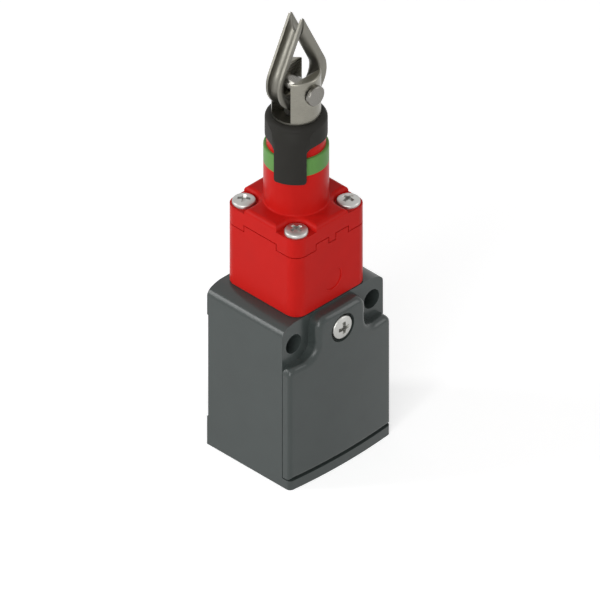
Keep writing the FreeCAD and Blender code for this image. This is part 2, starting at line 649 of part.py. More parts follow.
def make_cover():
    piece = body("front_cover")
    sk = sketch(piece, "XY_Plane", COVER_BOTTOM)
    plan_of_front(sk, -S.case_front)
    pad(piece, sk, TAB_TOP - COVER_BOTTOM)
    # Shoulders cut round the fixing holes, with the centre tab left between them
    sk = sketch(piece, "XZ_Plane")
    beyond = CASE_HALF + S.cover_depth
    above = TAB_TOP + S.cover_depth
    outline(sk, (TAB_HALF, above), (TAB_HALF, SHOULDER, S.cutout_radius), (beyond, SHOULDER), (beyond, above))
    outline(sk, (-beyond, above), (-beyond, SHOULDER), (-TAB_HALF, SHOULDER, S.cutout_radius),
            (-TAB_HALF, above))
    pocket(piece, sk, S.case_front, COVER_FRONT + S.cover_depth)
    round_edges(piece, S.cover_shoulder_corner,
                lambda edge, mid: near(abs(mid.x), CASE_HALF) and near(mid.z, SHOULDER))
    round_edges(piece, S.cover_tab_corner,
                lambda edge, mid: near(abs(mid.x), TAB_HALF) and near(mid.z, TAB_TOP))
    round_edges(piece, S.cover_edge,
                lambda edge, mid: all(v.Point.y < -COVER_FRONT.value + 0.01 for v in edge.Vertexes))
    # Hollow over the chamber
    sk = sketch(piece, "XZ_Plane", S.case_front)
    rectangle(sk, -CHAMBER_HALF, CHAMBER_HALF, S.chamber_floor, CHAMBER_TOP)
    pocket(piece, sk, S.cover_depth - S.cover_skin, back=True)
    # Screw hole and recess
    sk = sketch(piece, "XZ_Plane", S.case_front)
    circle(sk, 0, FIXING_Z, S.cover_screw_shank + S.screw_play)
    pocket(piece, sk, S.cover_depth + S.cover_skin, back=True)
    sk = sketch(piece, "XZ_Plane", RECESS_FLOOR)
    circle(sk, 0, FIXING_Z, S.cover_screw_recess)
    pocket(piece, sk, S.cover_screw_head_depth + S.cover_skin, back=True)
    return keep(piece)


def make_gasket():
    piece = body("cover_gasket")
    sk = sketch(piece, "XZ_Plane", S.case_front - S.gasket_depth)
    gasket_frame(sk)
    pad(piece, sk, S.gasket_depth)
    return keep(piece)


def screw_section(sk, head, side, head_depth, shank, length):
    """Half a screw's section: straight shank and head side, and a dome that ends level on the axis."""
    corners = (0, -length), (shank, -length), (shank, 0), (head, 0), (head, side), (0, head_depth)
    points = [point(corner) for corner in corners]
    lines = [sk.addGeometry(Part.LineSegment(points[i], points[i + 1])) for i in range(4)]
    crown = head_depth.value - side.value
    radius = (head.value ** 2 + crown ** 2) / (2 * crown)
    middle = V(0, head_depth.value - radius, 0)
    start = math.atan2(side.value - middle.y, head.value)
    dome = Part.ArcOfCircle(Part.Circle(middle, V(0, 0, 1), radius), start, math.pi / 2)
    lines.append(sk.addGeometry(dome))
    lines.append(sk.addGeometry(Part.LineSegment(points[5], points[0])))
    join(sk, *[(lines[i - 1], 2, lines[i], 1) for i in range(6)])
    for line, (x, y) in zip(lines, corners):
        fix(sk, "DistanceX", (-1, 1, line, 1), x)
        fix(sk, "DistanceY", (-1, 1, line, 1), y)
    fix(sk, "DistanceX", (-1, 1, lines[4], 3), 0)


def screw(name, head, head_depth, shank, length, rim):
    """A cross-recess screw that stands head up on Z = 0, with its shank below."""
    piece = body(name)
    side = head_depth - head * S.screw_crown
    sk = sketch(piece, "XZ_Plane")
    screw_section(sk, head, side, head_depth, shank, length)
    turn(piece, sk)
    round_edges(piece, rim,
                lambda edge, mid: near(mid.z, side) and near(math.hypot(mid.x, mid.y), head))
    sk = sketch(piece, "XY_Plane", head_depth)
    reach = head * S.recess_reach
    half = head * S.recess_half
    outline(sk, (-half, -reach), (half, -reach), (half, -half), (reach, -half), (reach, half), (half, half),
            (half, reach), (-half, reach), (-half, half), (-reach, half), (-reach, -half), (-half, -half))
    recess = pocket(piece, sk, head_depth * S.recess_depth)
    bind(recess, "TaperAngle", -S.recess_draft)
    doc.recompute()
    return piece


def placed(piece, place, tilt=0):
    """A copy of a piece's shape, tipped about X and moved."""
    shape = piece.Shape.copy()
    shape.Placement = FreeCAD.Placement(place, FreeCAD.Rotation(V(1, 0, 0), tilt)).multiply(shape.Placement)
    return shape


def make_case_screws():
    one = screw("cover_screw_one", S.cover_screw_head, S.cover_screw_head_depth, S.cover_screw_shank,
                RECESS_FLOOR - S.case_front + S.cover_screw_bite, S.cover_screw_rim)
    group("cover_screw", [placed(one, V(0, -RECESS_FLOOR.value, FIXING_Z.value), 90)])
    one = screw("block_screw_one", S.block_screw_head, S.block_screw_head_depth, S.block_screw_shank,
                S.block_front + CHAMBER_BACK + S.block_screw_bite, S.block_screw_rim)
    group("contact_block_screws", [
        placed(one, V(side * BLOCK_SCREW_X.value, -S.block_front.value, BLOCK_SCREW_Z.value), 90)
        for side in (-1, 1)])


# Contacts

def strips():
    """Lower edge and terminal plate of the upper and lower fixed contacts, with their screw level."""
    upper = (UPPER_STRIP, UPPER_STRIP, UPPER_STRIP + S.plate_height, UPPER_STRIP + S.terminal_drop)
    low = LOWER_STRIP_TOP - S.strip_thickness
    lower = (low, LOWER_STRIP_TOP - S.plate_height, LOWER_STRIP_TOP, LOWER_STRIP_TOP - S.terminal_drop)
    return upper, lower


def make_contact_block():
    piece = body("contact_block")
    sk = sketch(piece, "XZ_Plane")
    rectangle(sk, -BLOCK_HALF, BLOCK_HALF, BLOCK_BOTTOM, BLOCK_TOP)
    pad(piece, sk, S.block_front, CHAMBER_BACK)
    # Window in which the moving contact travels
    sk = sketch(piece, "XZ_Plane")
    rectangle(sk, -WINDOW_HALF, WINDOW_HALF, WINDOW_FLOOR, WINDOW_TOP)
    pocket(piece, sk, S.window_back, S.block_front)
    sk = sketch(piece, "XY_Plane", WINDOW_TOP)
    circle(sk, 0, 0, PLUNGER_HOLE)
    pocket(piece, sk, BLOCK_TOP - WINDOW_TOP, back=True)
    sk = sketch(piece, "XY_Plane", WINDOW_FLOOR)
    circle(sk, 0, 0, S.spring_pit_radius)
    pocket(piece, sk, S.spring_pit)
    # Slots that hold the fixed contacts
    for low, _, _, level in strips():
        sk = sketch(piece, "XZ_Plane", S.block_front)
        rectangle(sk, STRIP_INNER, STRIP_OUTER, low, low + S.strip_thickness)
        rectangle(sk, -STRIP_OUTER, -STRIP_INNER, low, low + S.strip_thickness)
        pocket(piece, sk, S.block_front + S.strip_back)
        sk = sketch(piece, "XZ_Plane", S.block_front)
        for side in (1, -1):
            circle(sk, TERMINAL_X * side, level, S.terminal_shank + S.thread_play)
        pocket(piece, sk, S.terminal_bite + S.run_gap)
    # Holes for its own two screws
    sk = sketch(piece, "XZ_Plane", S.block_front)
    for side in (1, -1):
        circle(sk, BLOCK_SCREW_X * side, BLOCK_SCREW_Z, S.block_screw_shank + S.screw_play)
    pocket(piece, sk, S.block_front + CHAMBER_BACK)
    return keep(piece)


def fixed_contact(low, plate_low, plate_high, level):
    """One angle strip: a tip in the window and a terminal plate on the block's front."""
    piece = body("fixed_contact_one")
    sk = sketch(piece, "XZ_Plane")
    rectangle(sk, STRIP_INNER, STRIP_OUTER, low, low + S.strip_thickness)
    pad(piece, sk, PLATE_FRONT, S.strip_back)
    sk = sketch(piece, "XZ_Plane", S.block_front)
    rectangle(sk, PLATE_INNER, STRIP_OUTER, plate_low, plate_high)
    pad(piece, sk, S.strip_thickness)
    sk = sketch(piece, "XZ_Plane", S.block_front)
    circle(sk, TERMINAL_X, level, S.terminal_shank + S.thread_play)
    pocket(piece, sk, S.strip_thickness, back=True)
    return piece


def both_sides(shape):
    """A shape and its mirror image across the YZ plane."""
    return [shape.copy(), shape.mirror(V(0, 0, 0), V(1, 0, 0))]


def make_terminals():
    contacts = []
    for strip in strips():
        contacts += both_sides(fixed_contact(*strip).Shape)
    group("fixed_contacts", contacts)

    clamp = body("terminal_clamp_one")
    sk = sketch(clamp, "XY_Plane")
    rectangle(sk, -S.clamp_half, S.clamp_half, -S.clamp_half, S.clamp_half, S.clamp_thickness / 2)
    pad(clamp, sk, S.clamp_thickness)
    sk = sketch(clamp, "XY_Plane")
    circle(sk, 0, 0, S.terminal_shank + S.thread_play)
    pocket(clamp, sk, S.clamp_thickness, back=True)
    one = screw("terminal_screw_one", S.terminal_head, S.terminal_head_depth, S.terminal_shank,
                S.clamp_thickness + S.strip_thickness + S.terminal_bite, S.terminal_rim)
    clamps = []
    screws = []
    for _, _, _, level in strips():
        for side in (-1, 1):
            x = side * TERMINAL_X.value
            clamps.append(placed(clamp, V(x, -PLATE_FRONT.value, level.value), 90))
            screws.append(placed(one, V(x, -CLAMP_FRONT.value, level.value), 90))
    group("terminal_clamps", clamps)
    group("terminal_screws", screws)


def make_plunger():
    piece = body("contact_plunger")
    slant_top = WEDGE_LEVEL + S.plunger_radius - S.slide_play
    sk = sketch(piece, "XY_Plane", PLUNGER_FOOT)
    circle(sk, 0, 0, S.plunger_radius)
    pad(piece, sk, slant_top - PLUNGER_FOOT)
    # Top cut on the slant of the cam slide's wedge
    sk = sketch(piece, "XZ_Plane")
    reach = S.plunger_radius + S.run_gap
    top = WEDGE_LEVEL - S.slide_play
    polygon(sk, (-reach, top - reach), (reach, top + reach), (-reach, top + reach))
    pocket(piece, sk, reach, reach)
    # Window for the moving contact
    sk = sketch(piece, "YZ_Plane")
    rectangle(sk, -S.bridge_half_width, S.bridge_half_width, BRIDGE_BOTTOM, BRIDGE_TOP)
    pocket(piece, sk, reach, reach)
    keep(piece)

    bridge = body("contact_bridge")
    sk = sketch(bridge, "XY_Plane", BRIDGE_BOTTOM)
    rectangle(sk, -BRIDGE_HALF, BRIDGE_HALF, -S.bridge_half_width, S.bridge_half_width)
    pad(bridge, sk, S.bridge_thickness)
    keep(bridge)


def spring(name, coil, wire, turns, bottom, top):
    """A coil spring of round wire between two levels."""
    piece = body(name)
    sk = sketch(piece, "XZ_Plane")
    circle(sk, coil, bottom + wire / 2, wire / 2)
    helix = piece.newObject("PartDesign::AdditiveHelix", f"{name}_helix")
    helix.Profile = sk
    helix.ReferenceAxis = (sk, ["V_Axis"])
    helix.Mode = "height-turns-angle"
    bind(helix, "Height", top - bottom - wire)
    bind(helix, "Turns", turns)
    doc.recompute()
    return keep(piece)


# Head

def make_head_base():
    piece = body("head_base")
    sk = sketch(piece, "XY_Plane", S.case_height)
    rectangle(sk, -HEAD_HALF, HEAD_HALF, -HEAD_HALF, HEAD_HALF, S.head_corner)
    pad(piece, sk, S.head_base_height)
    round_edges(piece, S.head_foot, lambda edge, mid: near(mid.z, S.case_height))
    # Raised steps at mid side; the front one is split by the cap's key
    sk = sketch(piece, "XY_Plane", BASE_TOP)
    inner = HEAD_HALF - S.merlon_depth
    rectangle(sk, inner, HEAD_HALF, -S.merlon_half, S.merlon_half)
    rectangle(sk, -HEAD_HALF, -inner, -S.merlon_half, S.merlon_half)
    rectangle(sk, -S.merlon_half, S.merlon_half, inner, HEAD_HALF)
    rectangle(sk, S.key_half, S.merlon_half, -HEAD_HALF, -inner)
    rectangle(sk, -S.merlon_half, -S.key_half, -HEAD_HALF, -inner)
    pad(piece, sk, S.merlon_rise)
    # Land inside the seam that carries the cap
    sk = sketch(piece, "XY_Plane", BASE_TOP)
    circle(sk, 0, 0, S.head_bore + S.seat_width)
    pad(piece, sk, S.joint_gap)
    # Cavity with the guide slot of the cam slide
    sk = sketch(piece, "XY_Plane", FLOOR)
    circle(sk, 0, 0, S.head_bore)
    pocket(piece, sk, CAP_TOP - FLOOR, back=True)
    sk = sketch(piece, "XY_Plane", FLOOR)
    rectangle(sk, 0, SLOT_END, -SLOT_HALF, SLOT_HALF)
    pocket(piece, sk, BASE_TOP + S.joint_gap - FLOOR, back=True)
    sk = sketch(piece, "XY_Plane", S.case_height)
    circle(sk, 0, 0, PLUNGER_HOLE)
    pocket(piece, sk, S.head_floor, back=True)
    # Groove for the head gasket in the underside
    sk = sketch(piece, "XY_Plane", S.case_height)
    circle(sk, 0, 0, S.head_gasket_outer)
    circle(sk, 0, 0, S.head_gasket_inner)
    pocket(piece, sk, S.head_gasket_depth, back=True)
    # Screw holes and the shallow round recess in the front
    sk = sketch(piece, "XY_Plane", S.case_height)
    circle(sk, S.head_screw_offset, S.head_screw_offset, S.head_screw_shank + S.screw_play)
    repeat(piece, pocket(piece, sk, CAP_TOP - S.case_height, back=True), 4)
    sk = sketch(piece, "XZ_Plane", HEAD_HALF)
    circle(sk, 0, S.case_height + S.dimple_height, S.dimple_radius)
    pocket(piece, sk, S.dimple_depth)
    return keep(piece)


def make_head_cap():
    piece = body("head_cap")
    sk = sketch(piece, "XY_Plane", CAP_BOTTOM)
    rectangle(sk, -HEAD_HALF, HEAD_HALF, -HEAD_HALF, HEAD_HALF, S.head_corner)
    pad(piece, sk, CAP_TOP - CAP_BOTTOM)
    # Low corners round the screws
    sk = sketch(piece, "XY_Plane", CAP_TOP)
    beyond = HEAD_HALF + S.notch_radius
    outline(sk, (NOTCH_EDGE, NOTCH_EDGE, S.notch_radius), (beyond, NOTCH_EDGE), (beyond, beyond),
            (NOTCH_EDGE, beyond))
    repeat(piece, pocket(piece, sk, S.notch_depth), 4)
    round_edges(piece, S.cap_edge, lambda edge, mid: near(mid.z, CAP_TOP))
    # Round neck with its stepped end
    sk = sketch(piece, "XZ_Plane")
    outline(sk, (0, SCREW_SEAT), (S.neck_radius, SCREW_SEAT), (S.neck_radius, NECK_TOP),
            (S.tube_radius, NECK_TOP), (S.tube_radius, TUBE_TOP), (0, TUBE_TOP))
    turn(piece, sk)
    round_edges(piece, S.neck_foot,
                lambda edge, mid: near(mid.z, CAP_TOP) and near(math.hypot(mid.x, mid.y), S.neck_radius))
    # Steps that fit round the base's, with the key left at the front
    sk = sketch(piece, "XY_Plane", CAP_BOTTOM)
    inner = HEAD_HALF - S.merlon_depth - S.joint_gap
    half = S.merlon_half + S.joint_gap
    key = S.key_half - S.joint_gap
    beyond = HEAD_HALF + S.merlon_depth
    rectangle(sk, inner, beyond, -half, half)
    rectangle(sk, -beyond, -inner, -half, half)
    rectangle(sk, -half, half, inner, beyond)
    rectangle(sk, key, half, -beyond, -inner)
    rectangle(sk, -half, -key, -beyond, -inner)
    pocket(piece, sk, S.merlon_rise, back=True)
    # Bores from below: spring space, then the shoulder and the bush seat from above
    sk = sketch(piece, "XY_Plane", CAP_BOTTOM)
    circle(sk, 0, 0, S.tube_bore)
    pocket(piece, sk, SPRING_TOP - CAP_BOTTOM, back=True)
    sk = sketch(piece, "XY_Plane", SPRING_TOP)
    circle(sk, 0, 0, S.shoulder_bore)
    pocket(piece, sk, S.spring_shoulder, back=True)
    sk = sketch(piece, "XY_Plane", BUSH_BOTTOM)
    circle(sk, 0, 0, S.bush_radius)
    pocket(piece, sk, TUBE_TOP - BUSH_BOTTOM, back=True)
    # Room for the cam slide's arm
    sk = sketch(piece, "XY_Plane", CAP_BOTTOM)
    rectangle(sk, 0, SLOT_END, -SLOT_HALF - S.slide_play, SLOT_HALF + S.slide_play)
    pocket(piece, sk, NOSE_TOP + S.run_gap - CAP_BOTTOM, back=True)
    # Screw holes
    sk = sketch(piece, "XY_Plane", CAP_BOTTOM)
    circle(sk, S.head_screw_offset, S.head_screw_offset, S.head_screw_shank + S.screw_play)
    repeat(piece, pocket(piece, sk, SCREW_SEAT - CAP_BOTTOM, back=True), 4)
    return keep(piece)


def make_head_fittings():
    one = screw("head_screw_one", S.head_screw_head, S.head_screw_head_depth, S.head_screw_shank,
                SCREW_SEAT - S.case_height + S.head_screw_bite, S.head_screw_rim)
    offset = S.head_screw_offset.value
    group("head_screws", [placed(one, V(x * offset, y * offset, SCREW_SEAT.value))
                          for x in (-1, 1) for y in (-1, 1)])
    ring("tension_band", S.tube_radius + S.press_play, S.neck_radius, NECK_TOP, NECK_TOP + S.band_height,
         (S.band_rim / 2, NECK_TOP + S.band_height))
    ring("guide_bush", S.rod_radius + S.rod_play, S.bush_radius - S.press_play, BUSH_BOTTOM, SEAL_BOTTOM)
    ring("wiper_seal", S.rod_radius + S.seal_play, S.bush_radius - S.press_play, SEAL_BOTTOM, TUBE_TOP)
    ring("head_gasket", S.head_gasket_inner, S.head_gasket_outer, S.case_height,
         S.case_height + S.head_gasket_depth)
    spring("pull_spring", S.pull_coil, S.pull_wire, S.pull_turns, WASHER_TOP, SPRING_TOP)
    spring("plunger_spring", S.plunger_coil, S.plunger_wire, S.plunger_turns,
           WINDOW_FLOOR - S.spring_pit, PLUNGER_FOOT)


# Pull rod and cam

def make_rod():
    piece = body("pull_rod")
    stud_end = CONE_BOTTOM + S.run_gap
    sk = sketch(piece, "XZ_Plane")
    outline(sk, (0, stud_end), (S.rod_stud, stud_end), (S.rod_stud, CONE_TOP),
            (S.rod_flange_radius, CONE_TOP), (S.rod_flange_radius, WASHER_BOTTOM),
            (S.rod_radius, WASHER_BOTTOM), (S.rod_radius, ROD_SHOULDER), (S.rod_neck_stud, ROD_SHOULDER),
            (S.rod_neck_stud, NUT_TOP), (0, NUT_TOP))
    turn(piece, sk)
    keep(piece)

    cone = body("cam_cone")
    recess = CONE_BOTTOM + S.cone_recess
    bore = S.rod_stud + S.thread_play
    sk = sketch(cone, "XZ_Plane")
    polygon(sk, (S.cone_recess_radius, CONE_BOTTOM), (S.cone_radius, CONE_BOTTOM),
            (S.cone_radius, CONE_BOTTOM + S.cone_rim), (CONE_SMALL, CONE_TOP), (bore, CONE_TOP),
            (bore, recess), (S.cone_recess_radius, recess))
    turn(cone, sk)
    keep(cone)

    nut = doc.addObject("Part::Prism", "cam_nut_blank")
    nut.Polygon = 6
    bind(nut, "Circumradius", S.nut_flats / dim(math.sqrt(3)))
    bind(nut, "Height", S.nut_height)
    bind(nut, "Placement.Base.z", recess - S.nut_height)
    hole = doc.addObject("Part::Cylinder", "cam_nut_hole")
    bind(hole, "Radius", bore)
    bind(hole, "Height", S.nut_height)
    bind(hole, "Placement.Base.z", recess - S.nut_height)
    cut = doc.addObject("Part::Cut", "cam_nut")
    cut.Base = nut
    cut.Tool = hole
    cut.Label = "cam_nut"
    doc.recompute()
    keep(cut)

    ring("spring_washer", S.rod_radius + S.press_play, S.rod_flange_radius, WASHER_BOTTOM, WASHER_TOP)
    ring("swivel_nut", S.rod_neck_stud + S.thread_play, S.swivel_nut_radius, NUT_BOTTOM, NUT_TOP)


def make_cam_slide():
    piece = body("cam_slide")
    sk = sketch(piece, "XZ_Plane")
    polygon(sk, (-S.slide_tail, SLIDE_BOTTOM), (-WEDGE_BACK, SLIDE_BOTTOM),
            (WEDGE_FRONT, WEDGE_LEVEL + WEDGE_FRONT), (WEDGE_FRONT, SLIDE_BOTTOM), (ARM_OUTER, SLIDE_BOTTOM),
            (ARM_OUTER, NOSE_TOP), (NOSE_X, NOSE_TOP), (NOSE_X, NOSE_BOTTOM), (ARM_INNER, NOSE_BOTTOM),
            (ARM_INNER, BAR_TOP), (-S.slide_tail, BAR_TOP))
    pad(piece, sk, S.slide_half, S.slide_half)
    return keep(piece)


# Indicator, clevis and thimble

def shoulder_plan(sk):
    """Plan of a tongue's shoulder: its outer arc, with flanks that run off tangent to the ring."""
    outer = S.tongue_outer.value
    half = S.tongue_half.value
    inner = S.sleeve_radius.value
    spread = math.asin(half / outer)
    touch = spread + math.acos(inner / outer)
    round_ring = sk.addGeometry(Part.Circle(V(0, 0, 0), V(0, 0, 1), inner), True)
    arc = sk.addGeometry(Part.ArcOfCircle(Part.Circle(V(0, 0, 0), V(0, 0, 1), outer), -spread, spread))
    edge = V(outer * math.cos(spread), half, 0)
    foot = V(inner * math.cos(touch), inner * math.sin(touch), 0)
    upper = sk.addGeometry(Part.LineSegment(edge, foot))
    chord = sk.addGeometry(Part.LineSegment(foot, V(foot.x, -foot.y, 0)))
    lower = sk.addGeometry(Part.LineSegment(V(foot.x, -foot.y, 0), V(edge.x, -edge.y, 0)))
    join(sk, (arc, 2, upper, 1), (upper, 2, chord, 1), (chord, 2, lower, 1), (lower, 2, arc, 1))
    for ring in (round_ring, arc):
        sk.addConstraint(Sketcher.Constraint("Coincident", ring, 3, -1, 1))
    fix(sk, "Radius", (round_ring,), S.sleeve_radius)
    fix(sk, "Radius", (arc,), S.tongue_outer)
    fix(sk, "DistanceY", (-1, 1, arc, 2), S.tongue_half)
    fix(sk, "DistanceY", (-1, 1, arc, 1), -S.tongue_half)
    sk.addConstraint(Sketcher.Constraint("Tangent", upper, 2, round_ring))
    sk.addConstraint(Sketcher.Constraint("Tangent", lower, 1, round_ring))


def rounded_shoulder(sk, low, high):
    """What lies outside an arc that leaves the tongue upright and meets the ring higher up."""
    depth = S.tongue_outer - S.sleeve_radius
    rise = high - low
    radius = (depth.value ** 2 + rise.value ** 2) / (2 * depth.value)
    middle = V(S.tongue_outer.value - radius, low.value, 0)
    top = V(S.sleeve_radius.value, high.value, 0)
    foot = V(S.tongue_outer.value, low.value, 0)
    beyond = S.tongue_outer + depth
    sweep = math.atan2(top.y - middle.y, top.x - middle.x)
    arc = sk.addGeometry(Part.ArcOfCircle(Part.Circle(middle, V(0, 0, 1), radius), 0, sweep))
    base = sk.addGeometry(Part.LineSegment(foot, V(beyond.value, low.value, 0)))
    side = sk.addGeometry(Part.LineSegment(V(beyond.value, low.value, 0), V(beyond.value, high.value, 0)))
    lid = sk.addGeometry(Part.LineSegment(V(beyond.value, high.value, 0), top))
    join(sk, (arc, 1, base, 1), (base, 2, side, 1), (side, 2, lid, 1), (lid, 2, arc, 2))
    sk.addConstraint(Sketcher.Constraint("Horizontal", base))
    sk.addConstraint(Sketcher.Constraint("Vertical", side))
    sk.addConstraint(Sketcher.Constraint("Horizontal", lid))
    fix(sk, "DistanceY", (-1, 1, arc, 3), low)
    fix(sk, "DistanceY", (-1, 1, arc, 1), low)
    fix(sk, "DistanceX", (-1, 1, arc, 1), S.tongue_outer)
    fix(sk, "DistanceX", (-1, 1, arc, 2), S.sleeve_radius)
    fix(sk, "DistanceY", (-1, 1, arc, 2), high)
    fix(sk, "DistanceX", (-1, 1, side, 1), beyond)


def make_sleeve():
    piece = body("indicator_sleeve")
    end = SLEEVE_BOTTOM - S.tongue_drop
    blend = SLEEVE_TOP - S.sleeve_edge
    sk = sketch(piece, "XZ_Plane")
    outline(sk, (0, SLEEVE_BOTTOM), (S.sleeve_radius, SLEEVE_BOTTOM),
            (S.sleeve_radius, SLEEVE_TOP, S.sleeve_edge), (0, SLEEVE_TOP))
    turn(piece, sk)
    # Two opposed pointer tongues with broad shoulders
    sk = sketch(piece, "XY_Plane", end)
    shoulder_plan(sk)
    repeat(piece, pad(piece, sk, blend - end), 2)
    # Shoulders rounded over towards the ring
    sk = sketch(piece, "XZ_Plane")
    rounded_shoulder(sk, CLEVIS_FOOT, blend)
    turn(piece, sk, "Groove")
    # Everything beside the tongues cut away below the ring
    sk = sketch(piece, "YZ_Plane")
    below = end - S.tongue_drop
    beyond = S.tongue_outer + S.tongue_half
    outline(sk, (S.tongue_half, below), (beyond, below), (beyond, SLEEVE_BOTTOM),
            (S.tongue_half, SLEEVE_BOTTOM, S.tongue_root))
    outline(sk, (-beyond, below), (-S.tongue_half, below), (-S.tongue_half, SLEEVE_BOTTOM, S.tongue_root),
            (-beyond, SLEEVE_BOTTOM))
    pocket(piece, sk, beyond, beyond)
    round_edges(piece, S.tongue_corner,
                lambda edge, mid: near(mid.z, end) and near(abs(mid.y), S.tongue_half))
    # Room for the neck, the rod and the clevis
    for level, radius, depth in ((SLEEVE_BOTTOM, S.tongue_inner, S.tongue_drop),
                                 (CLEVIS_FOOT, S.rod_radius + S.rod_play, S.sleeve_floor),
                                 (SLEEVE_TOP, S.clevis_radius + S.press_play, SLEEVE_TOP - CLEVIS_FOOT)):
        sk = sketch(piece, "XY_Plane", level)
        circle(sk, 0, 0, radius)
        pocket(piece, sk, depth)
    bind(piece, "Placement.Rotation.Angle", S.tongue_turn)
    doc.recompute()
    return keep(piece)


def make_clevis():
    piece = body("clevis")
    sk = sketch(piece, "XZ_Plane")
    hole = S.rod_neck_stud + S.rod_play
    counter = S.swivel_nut_radius + S.swivel_side
    seat = NUT_BOTTOM - S.swivel_play
    outline(sk, (hole, CLEVIS_FOOT), (S.clevis_radius, CLEVIS_FOOT), (S.clevis_radius, CLEVIS_TOP),
            (0, CLEVIS_TOP), (0, CLEVIS_SLOT), (counter, CLEVIS_SLOT), (counter, seat), (hole, seat))
    turn(piece, sk)
    # Slot between the two arms
    sk = sketch(piece, "YZ_Plane")
    rectangle(sk, -S.slot_half, S.slot_half, CLEVIS_SLOT, CLEVIS_TOP + S.slot_half)
    pocket(piece, sk, S.clevis_radius * 2, S.clevis_radius * 2)
    # Pin hole across the arms
    sk = sketch(piece, "XZ_Plane")
    circle(sk, 0, PIN_LEVEL, S.pin_radius + S.pin_play)
    pocket(piece, sk, S.clevis_radius, S.clevis_radius)
    round_edges(piece, S.clevis_edge, lambda edge, mid: near(mid.z, CLEVIS_TOP))
    return keep(piece)


def make_pin():
    piece = body("clevis_pin")
    tail = S.clevis_radius + S.clip_thickness
    sk = sketch(piece, "XZ_Plane", -tail)
    circle(sk, 0, PIN_LEVEL, S.pin_radius)
    pad(piece, sk, S.clevis_radius + tail)
    sk = sketch(piece, "XZ_Plane", S.clevis_radius)
    circle(sk, 0, PIN_LEVEL, S.pin_head_radius)
    pad(piece, sk, S.pin_head)
    round_edges(piece, S.pin_head_edge, lambda edge, mid: near(mid.y, -(S.clevis_radius + S.pin_head)))
    keep(piece)

    clip = body("pin_clip")
    sk = sketch(clip, "XZ_Plane", -tail)
    circle(sk, 0, PIN_LEVEL, S.clip_radius)
    circle(sk, 0, PIN_LEVEL, S.pin_radius + S.press_play)
    pad(clip, sk, S.clip_thickness)
    keep(clip)


def make_thimble():
    """A teardrop of channel section: one half swept from the foot to past the tip, trimmed and mirrored."""
    piece = body("thimble")
    middle = S.thimble_eye + S.thimble_depth / 2
    lean = math.radians(S.thimble_lean.value)
    centre = V(0, THIMBLE_CENTRE.value, 0)
    radius = middle.value
    joint = centre + V(radius * math.cos(lean), radius * math.sin(lean), 0)
    leaf = (S.thimble_eye + S.thimble_depth) * 2 + S.thimble_gap
    path = sketch(piece, "XZ_Plane")
    bend = path.addGeometry(Part.ArcOfCircle(Part.Circle(centre, V(0, 0, 1), radius), -math.pi / 2, lean))
    far = joint + V(-math.sin(lean), math.cos(lean), 0) * leaf.value
    straight = path.addGeometry(Part.LineSegment(joint, far))
    path.addConstraint(Sketcher.Constraint("Tangent", bend, 2, straight, 1))
    fix(path, "DistanceX", (-1, 1, bend, 3), 0)
    fix(path, "DistanceY", (-1, 1, bend, 3), THIMBLE_CENTRE)
    fix(path, "DistanceX", (-1, 1, bend, 1), 0)
    fix(path, "Radius", (bend,), middle)
    fix(path, "Distance", (straight,), leaf)
    angle = path.addConstraint(Sketcher.Constraint("Angle", straight, math.pi / 2 + lean))
    path.setExpression(f"Constraints[{angle}]", f"(90 + {S.thimble_lean.text}) * 1 deg")

    # Channel section at the foot: a round web towards the eye and two short flanges outwards
    section = sketch(piece, "YZ_Plane")
    half = S.thimble_width / 2
    inside = half - S.thimble_sheet
    spring_line = THIMBLE_CENTRE - S.thimble_eye - half
    foot = THIMBLE_CENTRE - S.thimble_eye - S.thimble_depth
    webs = []
    flanges = []
    for reach in (half, inside):
        web = Part.ArcOfCircle(Part.Circle(V(0, spring_line.value, 0), V(0, 0, 1), reach.value), 0, math.pi)
        webs.append(section.addGeometry(web))
        fix(section, "DistanceX", (-1, 1, webs[-1], 3), 0)
        fix(section, "DistanceY", (-1, 1, webs[-1], 3), spring_line)
        fix(section, "Radius", (webs[-1],), reach)
        for end, x in ((1, reach.value), (2, -reach.value)):
            side = section.addGeometry(Part.LineSegment(V(x, spring_line.value, 0), V(x, foot.value, 0)))
            flanges.append(side)
            section.addConstraint(Sketcher.Constraint("Tangent", webs[-1], end, side, 1))
            section.addConstraint(Sketcher.Constraint("Vertical", side))
            fix(section, "DistanceY", (-1, 1, side, 2), foot)
    for outer, inner in ((flanges[0], flanges[2]), (flanges[1], flanges[3])):
        ends = [section.Geometry[side].EndPoint for side in (outer, inner)]
        lip = section.addGeometry(Part.LineSegment(*ends))
        section.addConstraint(Sketcher.Constraint("Coincident", lip, 1, outer, 2))
        section.addConstraint(Sketcher.Constraint("Coincident", lip, 2, inner, 2))
    doc.recompute()
    sweep = piece.newObject("PartDesign::AdditivePipe", "thimble_sweep")
    sweep.Profile = section
    sweep.Spine = (path, ["Edge1", "Edge2"])
    doc.recompute()
    # Leaf end cut upright beside the axis
    sk = sketch(piece, "XZ_Plane")
    beyond = S.thimble_eye + leaf
    rectangle(sk, -beyond, S.thimble_gap / 2, THIMBLE_CENTRE, THIMBLE_CENTRE + beyond)
    pocket(piece, sk, S.thimble_width, S.thimble_width)
    mirror = piece.newObject("PartDesign::Mirrored", "thimble_mirror")
    mirror.TransformMode = "Whole shape"
    mirror.MirrorPlane = (plane(piece, "YZ_Plane"), [""])
    piece.Tip = mirror
    doc.recompute()
    return keep(piece)


def check():
    """Stop if any object failed or any piece is not a sound solid."""
    for item in doc.Objects:
        if "Invalid" in item.State or "Error" in item.State:
            raise ValueError(f"{item.Name} failed: {item.State}")
    for piece in PIECES:
        if piece.Shape.isNull() or not piece.Shape.isValid() or not piece.Shape.Solids:
            raise ValueError(f"{piece.Label} is not a sound solid")


